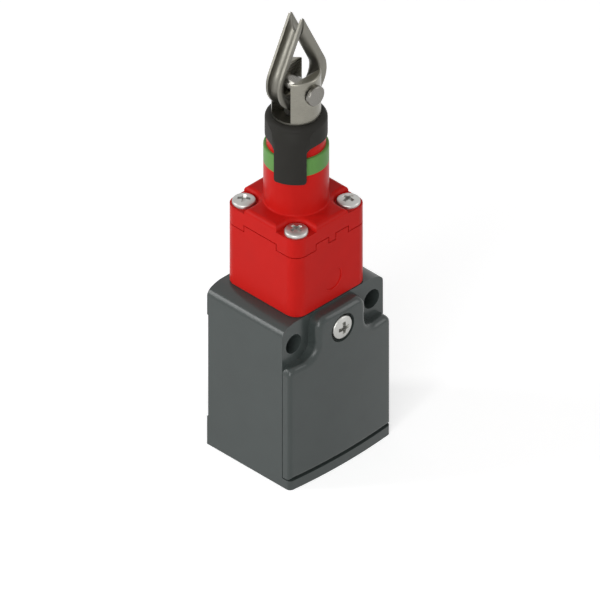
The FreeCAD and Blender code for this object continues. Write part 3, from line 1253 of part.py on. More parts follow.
def export():
    os.makedirs("parts", exist_ok=True)
    for piece in PIECES:
        piece.Shape.exportStep(f"parts/{piece.Label}.step")


make_housing()
make_cover()
make_gasket()
make_case_screws()
make_contact_block()
make_terminals()
make_plunger()
make_head_base()
make_head_cap()
make_head_fittings()
make_rod()
make_cam_slide()
make_sleeve()
make_clevis()
make_pin()
make_thimble()
doc.recompute()
check()
export()
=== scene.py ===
"""Looks of a rope pull switch: satin moulded case, red head, tension band, and polished rope fittings."""
import json
import math
import bmesh
import bpy
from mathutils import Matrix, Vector


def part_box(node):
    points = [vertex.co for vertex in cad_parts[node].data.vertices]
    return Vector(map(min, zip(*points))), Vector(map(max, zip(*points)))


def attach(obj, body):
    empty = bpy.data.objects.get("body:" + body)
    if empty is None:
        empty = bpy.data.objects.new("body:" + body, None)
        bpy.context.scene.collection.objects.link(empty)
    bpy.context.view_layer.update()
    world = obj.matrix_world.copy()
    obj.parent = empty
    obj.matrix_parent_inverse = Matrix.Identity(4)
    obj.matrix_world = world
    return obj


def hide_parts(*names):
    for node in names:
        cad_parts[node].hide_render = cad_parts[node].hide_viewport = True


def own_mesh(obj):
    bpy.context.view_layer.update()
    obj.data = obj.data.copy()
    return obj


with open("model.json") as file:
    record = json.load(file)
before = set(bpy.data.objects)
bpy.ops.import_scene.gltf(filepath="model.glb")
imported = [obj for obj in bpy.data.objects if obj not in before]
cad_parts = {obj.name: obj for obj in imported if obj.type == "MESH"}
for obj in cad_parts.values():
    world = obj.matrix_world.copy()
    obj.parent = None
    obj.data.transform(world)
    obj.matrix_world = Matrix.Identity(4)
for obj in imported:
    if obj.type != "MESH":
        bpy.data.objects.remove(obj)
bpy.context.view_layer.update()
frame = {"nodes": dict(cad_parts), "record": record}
MM = 0.001

# Camera: a true isometric view from the front left
VIEW_AZIMUTH = math.radians(-45)
VIEW_ELEVATION = math.atan(1 / math.sqrt(2))
VIEW_SPAN = 119.67 * MM
VIEW_HEIGHT = 33.41 * MM
VIEW_SIDESTEP = 0.758 * MM
VIEW_DISTANCE = 0.6

# Studio; each lamp has its place, width, height and power
FLOOR_SIZE = 3.0
FLOOR_PALE = (0.8, 0.8, 0.8, 1)
FLOOR_ROUGHNESS = 0.9
FLOOR_GLOW = 0.6
SKY_LIGHT = 0.25
WHITE = (1, 1, 1, 1)
LAMP_TARGET = (0, 0, 0.05)
LAMPS = {
    "left_key": ((-0.8, -0.5, 0.38), 0.6, 0.6, 4.25),
    "edge_strip": ((-0.75, -0.2, 0.68), 0.12, 0.5, 0.9),
    "rim_left": ((-0.6, 0.55, 0.36), 0.2, 0.65, 2.6),
    "rim_front": ((0.55, -0.6, 0.36), 0.3, 0.65, 1.35),
}

# Finishes: tones of the clouding, spread of the roughness, noise scales, and bump strengths and depths
MOULDED_TONES = (0.93, 1.07)
STEEL_TONES = (0.86, 1.12)
RUBBER_TONES = (0.8, 1.3)
MOULDED_SPREAD = (-0.05, 0.06)
STEEL_SPREAD = (-0.06, 0.08)
RUBBER_ROUGHNESS = 0.75
MOULDED_GRAIN = 5000.0
RUBBER_GRAIN = 7000.0
CLOUDS = 160.0
STEEL_CLOUDS = 320.0
GRAIN_STRENGTH = 0.25
LINE_STRENGTH = 0.2
RUBBER_STRENGTH = 0.4
GRAIN_DEPTH = 0.02 * MM
RUBBER_DEPTH = 0.03 * MM
TOOL_LINE_DEPTH = 0.004 * MM
POLISH_DEPTH = 0.0005 * MM
# Paler outer edges, partly rubbed wear and partly a painted highlight on the rounds: width, share and breakup
# of their mask
WORN_AND_HIGHLIT_EDGE = 0.4 * MM
WORN_AND_HIGHLIT_SHARE = 0.55
WEAR_AND_HIGHLIGHT_PATCHES = 900.0

# Tool lines: how far the noise is squeezed along each axis
TURNED = (300.0, 300.0, 9000.0)
DRAWN = (700.0, 5000.0, 700.0)
PLATED = (900.0, 900.0, 900.0)
COILED = (1500.0, 1500.0, 1500.0)

# Shading of joined CAD meshes
JOIN_WITHIN = 0.001 * MM
CRISP_ANGLE = math.radians(40)
ON_SURFACE = 0.02 * MM

# Case and cover as the frame has them; each pair of rounds is the frame's and the wider or tighter one shown
CASE_SIDE = 14.25 * MM
CROWN_MIDDLE = (10.0 * MM, 31.0 * MM)
CROWN_RADIUS = 7.4 * MM
CROWN_EDGE = (0.9 * MM, 1.7 * MM)
TAB_SIDE = 6.8 * MM
TAB_TOP = 38.0 * MM
SHOULDER = 29.1 * MM
TAB_CORNER = (TAB_SIDE, TAB_TOP)
TAB_ROUND = (1.2 * MM, 2.6 * MM)
CUTOUT_CORNER = (TAB_SIDE, SHOULDER)
CUTOUT_ROUND = (4.2 * MM, 3.2 * MM)
SHOULDER_CORNER = (CASE_SIDE, SHOULDER)
SHOULDER_ROUND = (1.3 * MM, 1.8 * MM)
COVER_ROUND = 0.95 * MM
COVER_WIDENING = 1.4
COVER_BULGE = 130.0 * MM
COVER_BACK = -10.25 * MM
COVER_FRONT = -12.44 * MM
PARTING_EDGE = 0.18 * MM

# Screws; crown and recess are shares of the head's radius, the taper is the recess floor's share of its mouth
HEAD_RINGS = 24
HEAD_SIDES = 64
HEAD_CROWN = 0.19
RECESS_REACH = 0.74
RECESS_HALF = 0.21
RECESS_TAPER = 0.55
SCREW_CRISP_ANGLE = math.radians(32)
HEAD_SCREW = {"head_radius": 2.42 * MM, "head_height": 1.2 * MM, "edge_round": 0.22 * MM,
              "recess_depth": 0.75 * MM, "shank_radius": 1.25 * MM}
COVER_SCREW = {"head_radius": 2.62 * MM, "head_height": 1.55 * MM, "edge_round": 0.25 * MM,
               "recess_depth": 1.0 * MM, "shank_radius": 1.5 * MM}
HEAD_CORNERS = ((-1, -1), (1, -1), (1, 1), (-1, 1))
HEAD_TURNS = [math.radians(angle) for angle in (-4, 5, 22, 38)]

# What the frame's record says of each node
MOTION = frame["record"]["behaviour"]
BODY_OF = {node: body for body, nodes in MOTION["bodies"].items() for node in nodes}
SLOT_OF = {part["node"]: part["material_slot"] for part in frame["record"]["subparts"]}


# Node helpers

def put(tree, kind, inputs=None, **settings):
    """Add a node, with its settings and its inputs as values or links."""
    item = tree.nodes.new(kind)
    for key, value in settings.items():
        setattr(item, key, value)
    for key, value in (inputs or {}).items():
        if isinstance(value, bpy.types.NodeSocket):
            tree.links.new(value, item.inputs[key])
        else:
            item.inputs[key].default_value = value
    return item


def new_group(name, kind, inputs, outputs):
    """Start a node group with named sockets; returns the tree and its two ends."""
    tree = bpy.data.node_groups.new(name, kind)
    for label, socket, default in inputs:
        made = tree.interface.new_socket(label, in_out="INPUT", socket_type=socket)
        if default is not None:
            made.default_value = default
    for label, socket in outputs:
        tree.interface.new_socket(label, in_out="OUTPUT", socket_type=socket)
    return tree, tree.nodes.new("NodeGroupInput"), tree.nodes.new("NodeGroupOutput")


def blend(tree, factor, a, b):
    """Mix two colours; the node's colour sockets share their names, so they go by number."""
    return put(tree, "ShaderNodeMix", {0: factor, 6: a, 7: b}, data_type="RGBA").outputs[2]


def span(tree, value, low, high, start=0.0, end=1.0):
    """Map a value from one range to another."""
    ends = {"Value": value, "From Min": start, "From Max": end, "To Min": low, "To Max": high}
    return put(tree, "ShaderNodeMapRange", ends).outputs["Result"]


def math_node(tree, operation, *values):
    """One step of arithmetic on values or links."""
    return put(tree, "ShaderNodeMath", dict(enumerate(values)), operation=operation).outputs[0]


def vector_of(tree, x, y, z):
    """A vector from three values or links."""
    return put(tree, "ShaderNodeCombineXYZ", {"X": x, "Y": y, "Z": z}).outputs["Vector"]


# Shader groups that several finishes share

def grain_group():
    """Fine moulding texture and soft clouding, in object space."""
    tree, start, end = new_group("moulded_grain", "ShaderNodeTree",
                                 [("Grain Scale", "NodeSocketFloat", MOULDED_GRAIN),
                                  ("Cloud Scale", "NodeSocketFloat", CLOUDS)],
                                 [("Height", "NodeSocketFloat"), ("Cloud", "NodeSocketFloat")])
    place = put(tree, "ShaderNodeTexCoord").outputs["Object"]
    fine = put(tree, "ShaderNodeTexNoise", {"Vector": place, "Scale": start.outputs["Grain Scale"],
                                            "Detail": 3.0, "Roughness": 0.6})
    soft = put(tree, "ShaderNodeTexNoise", {"Vector": place, "Scale": start.outputs["Cloud Scale"],
                                            "Detail": 2.0, "Roughness": 0.5})
    tree.links.new(fine.outputs["Fac"], end.inputs["Height"])
    tree.links.new(soft.outputs["Fac"], end.inputs["Cloud"])
    return tree


def edge_wear_and_highlight_group():
    """A mask that rises on outer edges, for paler edges that are partly rubbed wear and partly a painted
    highlight, broken up by noise.
    """
    tree, start, end = new_group("edge_wear_and_highlight", "ShaderNodeTree",
                                 [("Width", "NodeSocketFloat", WORN_AND_HIGHLIT_EDGE),
                                  ("Breakup Scale", "NodeSocketFloat", WEAR_AND_HIGHLIGHT_PATCHES)],
                                 [("Mask", "NodeSocketFloat")])
    rounded = put(tree, "ShaderNodeBevel", {"Radius": start.outputs["Width"]}, samples=6)
    facing = put(tree, "ShaderNodeNewGeometry").outputs["Normal"]
    same = put(tree, "ShaderNodeVectorMath", {0: rounded.outputs["Normal"], 1: facing},
               operation="DOT_PRODUCT")
    edge = span(tree, same.outputs["Value"], low=1.0, high=0.0, start=0.72, end=0.985)
    place = put(tree, "ShaderNodeTexCoord").outputs["Object"]
    noise = put(tree, "ShaderNodeTexNoise", {"Vector": place, "Scale": start.outputs["Breakup Scale"],
                                             "Detail": 4.0})
    patchy = span(tree, noise.outputs["Fac"], low=0.25, high=1.0, start=0.35, end=0.62)
    tree.links.new(math_node(tree, "MULTIPLY", edge, patchy), end.inputs["Mask"])
    return tree


def streak_group():
    """Fine drawn or turned lines: noise stretched by a scale for each axis."""
    tree, start, end = new_group("tool_lines", "ShaderNodeTree",
                                 [("Stretch", "NodeSocketVector", (1.0, 1.0, 1.0))],
                                 [("Line", "NodeSocketFloat")])
    place = put(tree, "ShaderNodeTexCoord").outputs["Object"]
    scaled = put(tree, "ShaderNodeVectorMath", {0: place, 1: start.outputs["Stretch"]}, operation="MULTIPLY")
    lines = put(tree, "ShaderNodeTexNoise", {"Vector": scaled.outputs[0], "Scale": 1.0, "Detail": 2.0})
    tree.links.new(lines.outputs["Fac"], end.inputs["Line"])
    return tree


GRAIN = grain_group()
EDGES = edge_wear_and_highlight_group()
STREAKS = streak_group()


# Finishes

def fill(tree, group, inputs):
    """Place a shader group in a material with its own values."""
    return put(tree, "ShaderNodeGroup", inputs, node_tree=group)


def new_material(name):
    """Start a material; returns it with its tree and shader."""
    material = bpy.data.materials.new(name)
    material.use_nodes = True
    tree = material.node_tree
    return material, tree, tree.nodes["Principled BSDF"]


def tint(colour, factor):
    """A colour made lighter or darker."""
    return tuple(min(1.0, channel * factor) for channel in colour[:3]) + (1,)


def clouded(tree, cloud, colour, tones):
    """A colour that wanders between a darker and a lighter tone."""
    return blend(tree, cloud, *(tint(colour, tone) for tone in tones))


def rough_bump(tree, shader, height, strength, depth):
    """Let a height disturb the shader's normal."""
    bump = put(tree, "ShaderNodeBump", {"Height": height, "Strength": strength, "Distance": depth})
    tree.links.new(bump.outputs["Normal"], shader.inputs["Normal"])


def moulded_plastic(name, colour, roughness, wear_and_highlight=1.5, specular=0.5):
    """A satin moulding: clouded colour, fine grain, and paler edges that are partly rubbed wear and partly a
    painted highlight.
    """
    material, tree, shader = new_material(name)
    surface = fill(tree, GRAIN, {})
    edges = fill(tree, EDGES, {})
    cloud = surface.outputs["Cloud"]
    base = clouded(tree, cloud, colour, MOULDED_TONES)
    # Paler edges: partly rubbed wear, partly a painted highlight on the rounds
    faint = span(tree, edges.outputs["Mask"], 0.0, WORN_AND_HIGHLIT_SHARE)
    tree.links.new(blend(tree, faint, base, tint(colour, wear_and_highlight)), shader.inputs["Base Color"])
    rough = span(tree, cloud, *(roughness + change for change in MOULDED_SPREAD))
    tree.links.new(rough, shader.inputs["Roughness"])
    shader.inputs["Specular IOR Level"].default_value = specular
    rough_bump(tree, shader, surface.outputs["Height"], GRAIN_STRENGTH, GRAIN_DEPTH)
    return material


def worked_steel(name, colour, roughness, stretch, line_depth=TOOL_LINE_DEPTH):
    """Bare steel with fine tool lines and a soft change of tone."""
    material, tree, shader = new_material(name)
    lines = fill(tree, STREAKS, {"Stretch": stretch})
    surface = fill(tree, GRAIN, {"Cloud Scale": STEEL_CLOUDS})
    base = clouded(tree, surface.outputs["Cloud"], colour, STEEL_TONES)
    tree.links.new(base, shader.inputs["Base Color"])
    shader.inputs["Metallic"].default_value = 1.0
    low, high = (roughness + change for change in STEEL_SPREAD)
    rough = span(tree, lines.outputs["Line"], low, high, start=0.3, end=0.7)
    tree.links.new(rough, shader.inputs["Roughness"])
    rough_bump(tree, shader, lines.outputs["Line"], LINE_STRENGTH, line_depth)
    return material


def soft_rubber(name, colour):
    """Dull rubber with a coarse skin."""
    material, tree, shader = new_material(name)
    surface = fill(tree, GRAIN, {"Grain Scale": RUBBER_GRAIN})
    base = clouded(tree, surface.outputs["Cloud"], colour, RUBBER_TONES)
    tree.links.new(base, shader.inputs["Base Color"])
    shader.inputs["Roughness"].default_value = RUBBER_ROUGHNESS
    rough_bump(tree, shader, surface.outputs["Height"], RUBBER_STRENGTH, RUBBER_DEPTH)
    return material


FINISHES = {
    "grey_plastic": moulded_plastic("grey_moulding", (0.051, 0.062, 0.0595), 0.2, specular=0.36),
    "red_plastic": moulded_plastic("red_moulding", (0.58, 0.014, 0.011), 0.3, wear_and_highlight=1.2, specular=0.06),
    "green_plastic": moulded_plastic("green_band", (0.13, 0.31, 0.08), 0.4, wear_and_highlight=1.2, specular=0.1),
    "black_plastic": moulded_plastic("black_moulding", (0.031, 0.030, 0.027), 0.5, wear_and_highlight=1.4, specular=0.06),
    "stainless": worked_steel("polished_stainless", (0.25, 0.241, 0.206), 0.29, TURNED, POLISH_DEPTH),
    "screw_steel": worked_steel("plated_screw_steel", (0.46, 0.46, 0.44), 0.4, PLATED, POLISH_DEPTH),
    # The thimble's steel is set darker than the clevis's: its base colour carries painted shade for the
    # darker surroundings it reflects
    "thimble_steel_shaded": worked_steel("formed_stainless_shaded", (0.205, 0.198, 0.172), 0.42, DRAWN, POLISH_DEPTH),
    "pin_steel": worked_steel("pin_stainless", (0.215, 0.208, 0.19), 0.22, DRAWN, POLISH_DEPTH),
    "spring_steel": worked_steel("spring_steel", (0.45, 0.45, 0.45), 0.3, COILED),
    "rubber": soft_rubber("black_rubber", (0.02, 0.02, 0.02)),
    "brass": worked_steel("brass", (0.60, 0.42, 0.16), 0.28, DRAWN),
    "block_plastic": moulded_plastic("cream_moulding", (0.55, 0.53, 0.47), 0.5),
    "cam_plastic": moulded_plastic("white_moulding", (0.60, 0.60, 0.57), 0.45),
}
OWN_FINISH = {"thimble": "thimble_steel_shaded", "clevis_pin": "pin_steel"}


# CAD nodes and their stand-ins

def dress_nodes():
    """Give every carried-over node its own finish or that of its slot."""
    for node, slot in SLOT_OF.items():
        mesh = frame["nodes"][node].data
        mesh.materials.clear()
        mesh.materials.append(FINISHES[OWN_FINISH.get(node, slot)])


def crown_round(radius):
    """Middle of the round between the case's side and its arched shoulder."""
    x = CASE_SIDE - radius
    return x, CROWN_MIDDLE[1] + math.sqrt((CROWN_RADIUS - radius) ** 2 - (x - CROWN_MIDDLE[0]) ** 2)


def round_crown(points):
    """Widen the round along the case's upper side edges."""
    old, new = (crown_round(radius) for radius in CROWN_EDGE)
    end = math.atan2(new[1] - CROWN_MIDDLE[1], new[0] - CROWN_MIDDLE[0])
    for point in points:
        side, level = abs(point.co.x), point.co.z
        for (x, z), radius in ((old, CROWN_EDGE[0]), (CROWN_MIDDLE, CROWN_RADIUS)):
            angle = math.atan2(level - z, side - x)
            if abs(math.hypot(side - x, level - z) - radius) < ON_SURFACE and -ON_SURFACE < angle < end:
                point.co.x = math.copysign(new[0] + CROWN_EDGE[1] * math.cos(angle), point.co.x)
                point.co.z = new[1] + CROWN_EDGE[1] * math.sin(angle)
                break


def cover_front(x):
    """Y of the cover's bowed front."""
    return COVER_FRONT + math.sqrt(COVER_BULGE ** 2 - CASE_SIDE ** 2) - math.sqrt(COVER_BULGE ** 2 - x ** 2)


def round_corner(points, corner, sides, radii):
    """Change a corner's radius on both halves of the cover; points keep their depth in the edge's round."""
    old, new = radii
    x, z = corner[0] - sides[0] * old, corner[1] - sides[1] * old
    for point in points:
        across, up = abs(point.co.x) - x, point.co.z - z
        reach = math.hypot(across, up)
        if min(across * sides[0], up * sides[1]) < -ON_SURFACE or abs(reach - old) > COVER_ROUND + ON_SURFACE:
            continue
        scale = (reach + new - old) / reach
        moved = x - sides[0] * (new - old) + across * scale
        if point.co.y < COVER_BACK - ON_SURFACE:
            point.co.y += cover_front(moved) - cover_front(point.co.x)
        point.co.x = math.copysign(moved, point.co.x)
        point.co.z = z - sides[1] * (new - old) + up * scale


def widen_cover_edge(points):
    """Widen the front edge's round along the tab, the cut-outs and the shoulders."""
    tab, cutout, shoulder = TAB_ROUND[1], CUTOUT_ROUND[1], SHOULDER_ROUND[1]
    hollow = CUTOUT_CORNER[1] + cutout
    for point in points:
        side, level = abs(point.co.x), point.co.z
        depth = point.co.y - cover_front(point.co.x)
        widening = COVER_WIDENING
        if level >= hollow:
            x, z = min(side, TAB_CORNER[0] - tab), min(level, TAB_CORNER[1] - tab)
            radius, inwards = tab, -1
        elif side <= SHOULDER_CORNER[0] - shoulder:
            x, z = max(side, CUTOUT_CORNER[0] + cutout), hollow
            radius, inwards = cutout, 1
        else:
            x, z = SHOULDER_CORNER[0] - shoulder, SHOULDER_CORNER[1] - shoulder
            radius, inwards = shoulder, -1
            widening = 1 + (COVER_WIDENING - 1) * math.sin(math.atan2(level - z, side - x)) ** 2
        reach = math.hypot(side - x, level - z)
        inset = (reach - radius) * inwards
        below = inwards < 0 and level < z - ON_SURFACE
        behind = depth > COVER_ROUND + ON_SURFACE
        if below or behind or not -ON_SURFACE < inset < COVER_ROUND + ON_SURFACE:
            continue
        scale = (radius + inset * widening * inwards) / reach
        point.co.x = math.copysign(x + (side - x) * scale, point.co.x)
        point.co.z = z + (level - z) * scale
        point.co.y = cover_front(point.co.x) + depth * widening


def on_parting(point):
    """Whether a point lies where case and cover meet at the sides."""
    return abs(abs(point.co.x) - CASE_SIDE) < ON_SURFACE and abs(point.co.y - COVER_BACK) < ON_SURFACE


def break_parting_edges(joined):
    """Break the upright edges where case and cover meet, so that a fine groove parts them."""
    edges = [edge for edge in joined.edges if all(on_parting(point) for point in edge.verts)]
    bmesh.ops.bevel(joined, geom=edges, offset=PARTING_EDGE, offset_type="OFFSET", segments=1, profile=0.5,
                    affect="EDGES", clamp_overlap=True)


def shape_housing(joined):
    """Give the case its wider crown rounds and its half of the parting groove."""
    round_crown(joined.verts)
    break_parting_edges(joined)


def shape_cover(joined):
    """Round tab, shoulders and upper edges more, the cut-outs less, and add the other half of the groove."""
    round_corner(joined.verts, TAB_CORNER, (1, 1), TAB_ROUND)
    round_corner(joined.verts, CUTOUT_CORNER, (-1, -1), CUTOUT_ROUND)
    round_corner(joined.verts, SHOULDER_CORNER, (1, 1), SHOULDER_ROUND)
    widen_cover_edge(joined.verts)
    break_parting_edges(joined)


def smooth_piece(node, shape=None):
    """Stand in for a node with its triangles joined, its rounds shaded smooth and its flats kept flat."""
    mesh = frame["nodes"][node].data.copy()
    joined = bmesh.new()
    joined.from_mesh(mesh)
    bmesh.ops.remove_doubles(joined, verts=joined.verts, dist=JOIN_WITHIN)
    if shape:
        shape(joined)
    for face in joined.faces:
        face.smooth = True
    for edge in joined.edges:
        edge.smooth = edge.calc_face_angle(math.pi) < CRISP_ANGLE
    joined.to_mesh(mesh)
    joined.free()
    piece = bpy.data.objects.new(f"{node}_finished", mesh)
    bpy.context.scene.collection.objects.link(piece)
    weighted = piece.modifiers.new("weighted", "WEIGHTED_NORMAL")
    weighted.keep_sharp = True
    ready = piece.evaluated_get(bpy.context.evaluated_depsgraph_get())
    finished = bpy.data.meshes.new_from_object(ready)
    piece.modifiers.clear()
    piece.data = finished
    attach(piece, BODY_OF[node])
    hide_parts(node)
    return piece


def coil_springs():
    """Give each spring that a joint deforms a smooth stand-in with a mesh of its own."""
    for joint in MOTION["joints"]:
        for spring in joint.get("deforming_nodes", []):
            piece = smooth_piece(spring["node"])
            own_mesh(piece)


# Screws

def domed_head(tree, radius, height, edge):
    """A round head that stands on Z = 0, with a low crown and its rim rounded over."""
    blank = put(tree, "GeometryNodeMeshCylinder",
                {"Vertices": HEAD_SIDES, "Fill Segments": HEAD_RINGS, "Radius": radius, "Depth": height},
                fill_type="TRIANGLE_FAN")
    place = put(tree, "ShaderNodeSeparateXYZ", {"Vector": put(tree, "GeometryNodeInputPosition").outputs[0]})
    across = vector_of(tree, place.outputs["X"], place.outputs["Y"], 0.0)
    reach = put(tree, "ShaderNodeVectorMath", {0: across}, operation="LENGTH").outputs["Value"]
    out = span(tree, reach, 0.0, 1.0, start=math_node(tree, "SUBTRACT", radius, edge), end=radius)
    arch = math_node(tree, "SQRT", math_node(tree, "SUBTRACT", 1.0, math_node(tree, "MULTIPLY", out, out)))
    rim = math_node(tree, "MULTIPLY", edge, math_node(tree, "SUBTRACT", 1.0, arch))
    part = math_node(tree, "DIVIDE", reach, radius)
    crown = math_node(tree, "MULTIPLY", math_node(tree, "MULTIPLY", part, part),
                      math_node(tree, "MULTIPLY", radius, HEAD_CROWN))
    drop = math_node(tree, "ADD", rim, crown)
    upper = math_node(tree, "GREATER_THAN", place.outputs["Z"], 0.0)
    lift = math_node(tree, "SUBTRACT", math_node(tree, "MULTIPLY", height, 0.5),
                     math_node(tree, "MULTIPLY", drop, upper))
    moved = put(tree, "GeometryNodeSetPosition", {"Geometry": blank.outputs["Mesh"],
                                                  "Offset": vector_of(tree, 0.0, 0.0, lift)})
    return moved.outputs["Geometry"]


def recess_arm(tree, reach, half, depth, height):
    """One arm pair of a cross recess, narrower towards its floor."""
    size = [math_node(tree, "MULTIPLY", value, 2.0) for value in (reach, half, depth)]
    bar = put(tree, "GeometryNodeMeshCube", {"Size": vector_of(tree, *size)})
    place = put(tree, "ShaderNodeSeparateXYZ", {"Vector": put(tree, "GeometryNodeInputPosition").outputs[0]})
    low = math_node(tree, "LESS_THAN", place.outputs["Z"], 0.0)
    scale = span(tree, low, 1.0, RECESS_TAPER)
    across = [math_node(tree, "MULTIPLY", place.outputs[axis], scale) for axis in ("X", "Y")]
    raised = math_node(tree, "ADD", place.outputs["Z"], height)
    moved = put(tree, "GeometryNodeSetPosition", {"Geometry": bar.outputs["Mesh"],
                                                  "Position": vector_of(tree, *across, raised)})
    return moved.outputs["Geometry"]


def screw_tree():
    """Cross-recess screws sized in millimetres, one on each point of the seats and turned by its aim."""
    sizes = ("Head Radius", "Head Height", "Edge Round", "Recess Depth", "Shank Radius", "Shank Length")
    tree, start, end = new_group("cross_recess_screws", "GeometryNodeTree",
                                 [("Seats", "NodeSocketGeometry", None)]
                                 + [(size, "NodeSocketFloat", 1.0) for size in sizes]
                                 + [("Finish", "NodeSocketMaterial", None)],
                                 [("Screws", "NodeSocketGeometry")])
    given = start.outputs
    head = domed_head(tree, given["Head Radius"], given["Head Height"], given["Edge Round"])
    reach = math_node(tree, "MULTIPLY", given["Head Radius"], RECESS_REACH)
    half = math_node(tree, "MULTIPLY", given["Head Radius"], RECESS_HALF)
    arm = recess_arm(tree, reach, half, given["Recess Depth"], given["Head Height"])
    crossed = put(tree, "GeometryNodeTransform", {"Geometry": arm, "Rotation": (0, 0, math.pi / 2)})
    cut = put(tree, "GeometryNodeMeshBoolean", {"Mesh 1": head}, operation="DIFFERENCE", solver="EXACT")
    tree.links.new(arm, cut.inputs["Mesh 2"])
    tree.links.new(crossed.outputs["Geometry"], cut.inputs["Mesh 2"])
    shank = put(tree, "GeometryNodeMeshCylinder", {"Vertices": HEAD_SIDES, "Radius": given["Shank Radius"],
                                                   "Depth": given["Shank Length"]})
    down = math_node(tree, "MULTIPLY", given["Shank Length"], -0.5)
    sunk = put(tree, "GeometryNodeTransform", {"Geometry": shank.outputs["Mesh"],
                                               "Translation": vector_of(tree, 0.0, 0.0, down)})
    whole = put(tree, "GeometryNodeJoinGeometry")
    for piece in (sunk.outputs["Geometry"], cut.outputs["Mesh"]):
        tree.links.new(piece, whole.inputs[0])
    round_faces = put(tree, "GeometryNodeSetShadeSmooth", {0: whole.outputs[0], "Shade Smooth": True})
    angle = put(tree, "GeometryNodeInputMeshEdgeAngle").outputs["Unsigned Angle"]
    crisp = math_node(tree, "GREATER_THAN", angle, SCREW_CRISP_ANGLE)
    shaded = put(tree, "GeometryNodeSetShadeSmooth", {0: round_faces.outputs[0], "Selection": crisp,
                                                      "Shade Smooth": False}, domain="EDGE")
    aim = put(tree, "GeometryNodeInputNamedAttribute", {"Name": "aim"}, data_type="FLOAT_VECTOR")
    turned = put(tree, "FunctionNodeEulerToRotation", {"Euler": aim.outputs["Attribute"]})
    copies = put(tree, "GeometryNodeInstanceOnPoints",
                 {"Points": given["Seats"], "Instance": shaded.outputs[0],
                  "Rotation": turned.outputs["Rotation"], "Scale": (MM, MM, MM)})
    real = put(tree, "GeometryNodeRealizeInstances", {"Geometry": copies.outputs["Instances"]})
    coloured = put(tree, "GeometryNodeSetMaterial", {"Geometry": real.outputs["Geometry"],
                                                     "Material": given["Finish"]})
    tree.links.new(coloured.outputs["Geometry"], end.inputs["Screws"])
    return tree


def make_screws(tree, node, seats, **sizes):
    """Stand screws on seats, each a place and its turns, in place of a CAD node."""
    points = bpy.data.meshes.new(f"{node}_seats")
    points.from_pydata([place for place, turns in seats], [], [])
    aim = points.attributes.new("aim", "FLOAT_VECTOR", "POINT")
    for item, (place, turns) in zip(aim.data, seats):
        item.vector = turns
    maker = bpy.data.objects.new(f"{node}_maker", points)
    bpy.context.scene.collection.objects.link(maker)
    modifier = maker.modifiers.new("screws", "NODES")
    modifier.node_group = tree
    sockets = {item.name: item.identifier for item in tree.interface.items_tree if item.in_out == "INPUT"}
    for label, value in sizes.items():
        modifier[sockets[label.replace("_", " ").title()]] = value / MM
    modifier[sockets["Finish"]] = FINISHES["screw_steel"]
    ready = maker.evaluated_get(bpy.context.evaluated_depsgraph_get())
    mesh = bpy.data.meshes.new_from_object(ready)
    bpy.data.objects.remove(maker)
    screws = bpy.data.objects.new(f"{node}_dressed", mesh)
    bpy.context.scene.collection.objects.link(screws)
    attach(screws, "case")
    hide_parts(node)


def place_screws():
    """Put four screws in the head's corners and one in the cover's tab."""
    tree = screw_tree()
    low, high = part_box("head_screws")
    seat = high.z - HEAD_SCREW["head_height"]
    offset = high.x - HEAD_SCREW["head_radius"]
    corners = [((x * offset, y * offset, seat), (0, 0, turn))
               for (x, y), turn in zip(HEAD_CORNERS, HEAD_TURNS)]
    make_screws(tree, "head_screws", corners, shank_length=seat - low.z, **HEAD_SCREW)
    low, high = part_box("cover_screw")
    middle = (low.z + high.z) / 2
    seat = low.y + COVER_SCREW["head_height"]
    make_screws(tree, "cover_screw", [((0, seat, middle), (math.pi / 2, 0, 0))], shank_length=high.y - seat,
                **COVER_SCREW)


# Stage

def seen_directly(tree):
    """Whether the background is looked at, straight or in a reflection, and not used as light."""
    ray = put(tree, "ShaderNodeLightPath").outputs
    mirrored = math_node(tree, "MAXIMUM", ray["Is Glossy Ray"], ray["Is Transmission Ray"])
    return math_node(tree, "MAXIMUM", ray["Is Camera Ray"], mirrored)


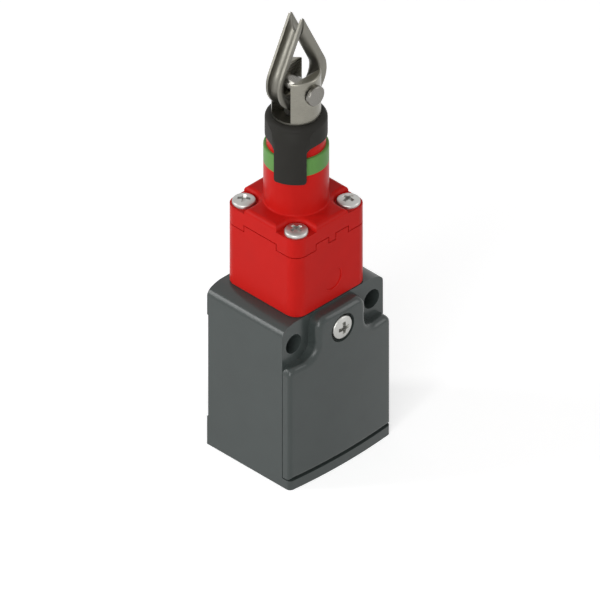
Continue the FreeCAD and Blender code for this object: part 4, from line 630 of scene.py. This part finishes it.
def make_stage():
    """A white surround and a pale floor that glows only where it is looked at."""
    scene = bpy.context.scene
    scene.view_settings.view_transform = "Standard"
    world = bpy.data.worlds.new("studio")
    scene.world = world
    world.use_nodes = True
    tree = world.node_tree
    tree.nodes.clear()
    strength = span(tree, seen_directly(tree), SKY_LIGHT, 1.0)
    sky = put(tree, "ShaderNodeBackground", {"Color": WHITE, "Strength": strength})
    out = put(tree, "ShaderNodeOutputWorld")
    tree.links.new(sky.outputs[0], out.inputs["Surface"])

    mesh = bpy.data.meshes.new("floor")
    half = FLOOR_SIZE / 2
    corners = [(-half, -half, 0), (half, -half, 0), (half, half, 0), (-half, half, 0)]
    mesh.from_pydata(corners, [], [(0, 1, 2, 3)])
    floor = bpy.data.objects.new("floor", mesh)
    scene.collection.objects.link(floor)
    material, tree, shader = new_material("pale_floor")
    shader.inputs["Base Color"].default_value = FLOOR_PALE
    shader.inputs["Roughness"].default_value = FLOOR_ROUGHNESS
    shader.inputs["Specular IOR Level"].default_value = 0.0
    shader.inputs["Emission Color"].default_value = WHITE
    tree.links.new(span(tree, seen_directly(tree), 0.0, FLOOR_GLOW), shader.inputs["Emission Strength"])
    mesh.materials.append(material)


def area_light(name, place, width, height, power):
    """A rectangular lamp that looks at the switch."""
    data = bpy.data.lights.new(name, "AREA")
    data.shape = "RECTANGLE"
    data.size = width
    data.size_y = height
    data.energy = power
    lamp = bpy.data.objects.new(name, data)
    lamp.location = place
    lamp.rotation_euler = (Vector(LAMP_TARGET) - Vector(place)).to_track_quat("-Z", "Y").to_euler()
    bpy.context.scene.collection.objects.link(lamp)


def make_camera():
    """Look at the switch without perspective, as the photograph does."""
    data = bpy.data.cameras.new("camera")
    data.type = "ORTHO"
    data.ortho_scale = VIEW_SPAN
    camera = bpy.data.objects.new("camera", data)
    level = Vector((math.sin(VIEW_AZIMUTH), -math.cos(VIEW_AZIMUTH), 0))
    right = Vector((math.cos(VIEW_AZIMUTH), math.sin(VIEW_AZIMUTH), 0))
    aim = Vector((0, 0, VIEW_HEIGHT)) + right * VIEW_SIDESTEP
    away = level * math.cos(VIEW_ELEVATION) + Vector((0, 0, math.sin(VIEW_ELEVATION)))
    camera.location = aim + away * VIEW_DISTANCE
    camera.rotation_euler = (-away).to_track_quat("-Z", "Y").to_euler()
    bpy.context.scene.collection.objects.link(camera)
    bpy.context.scene.camera = camera


make_stage()
for lamp_name, lamp_values in LAMPS.items():
    area_light(lamp_name, *lamp_values)
make_camera()
dress_nodes()
smooth_piece("indicator_sleeve")
smooth_piece("housing", shape_housing)
smooth_piece("front_cover", shape_cover)
coil_springs()
place_screws()
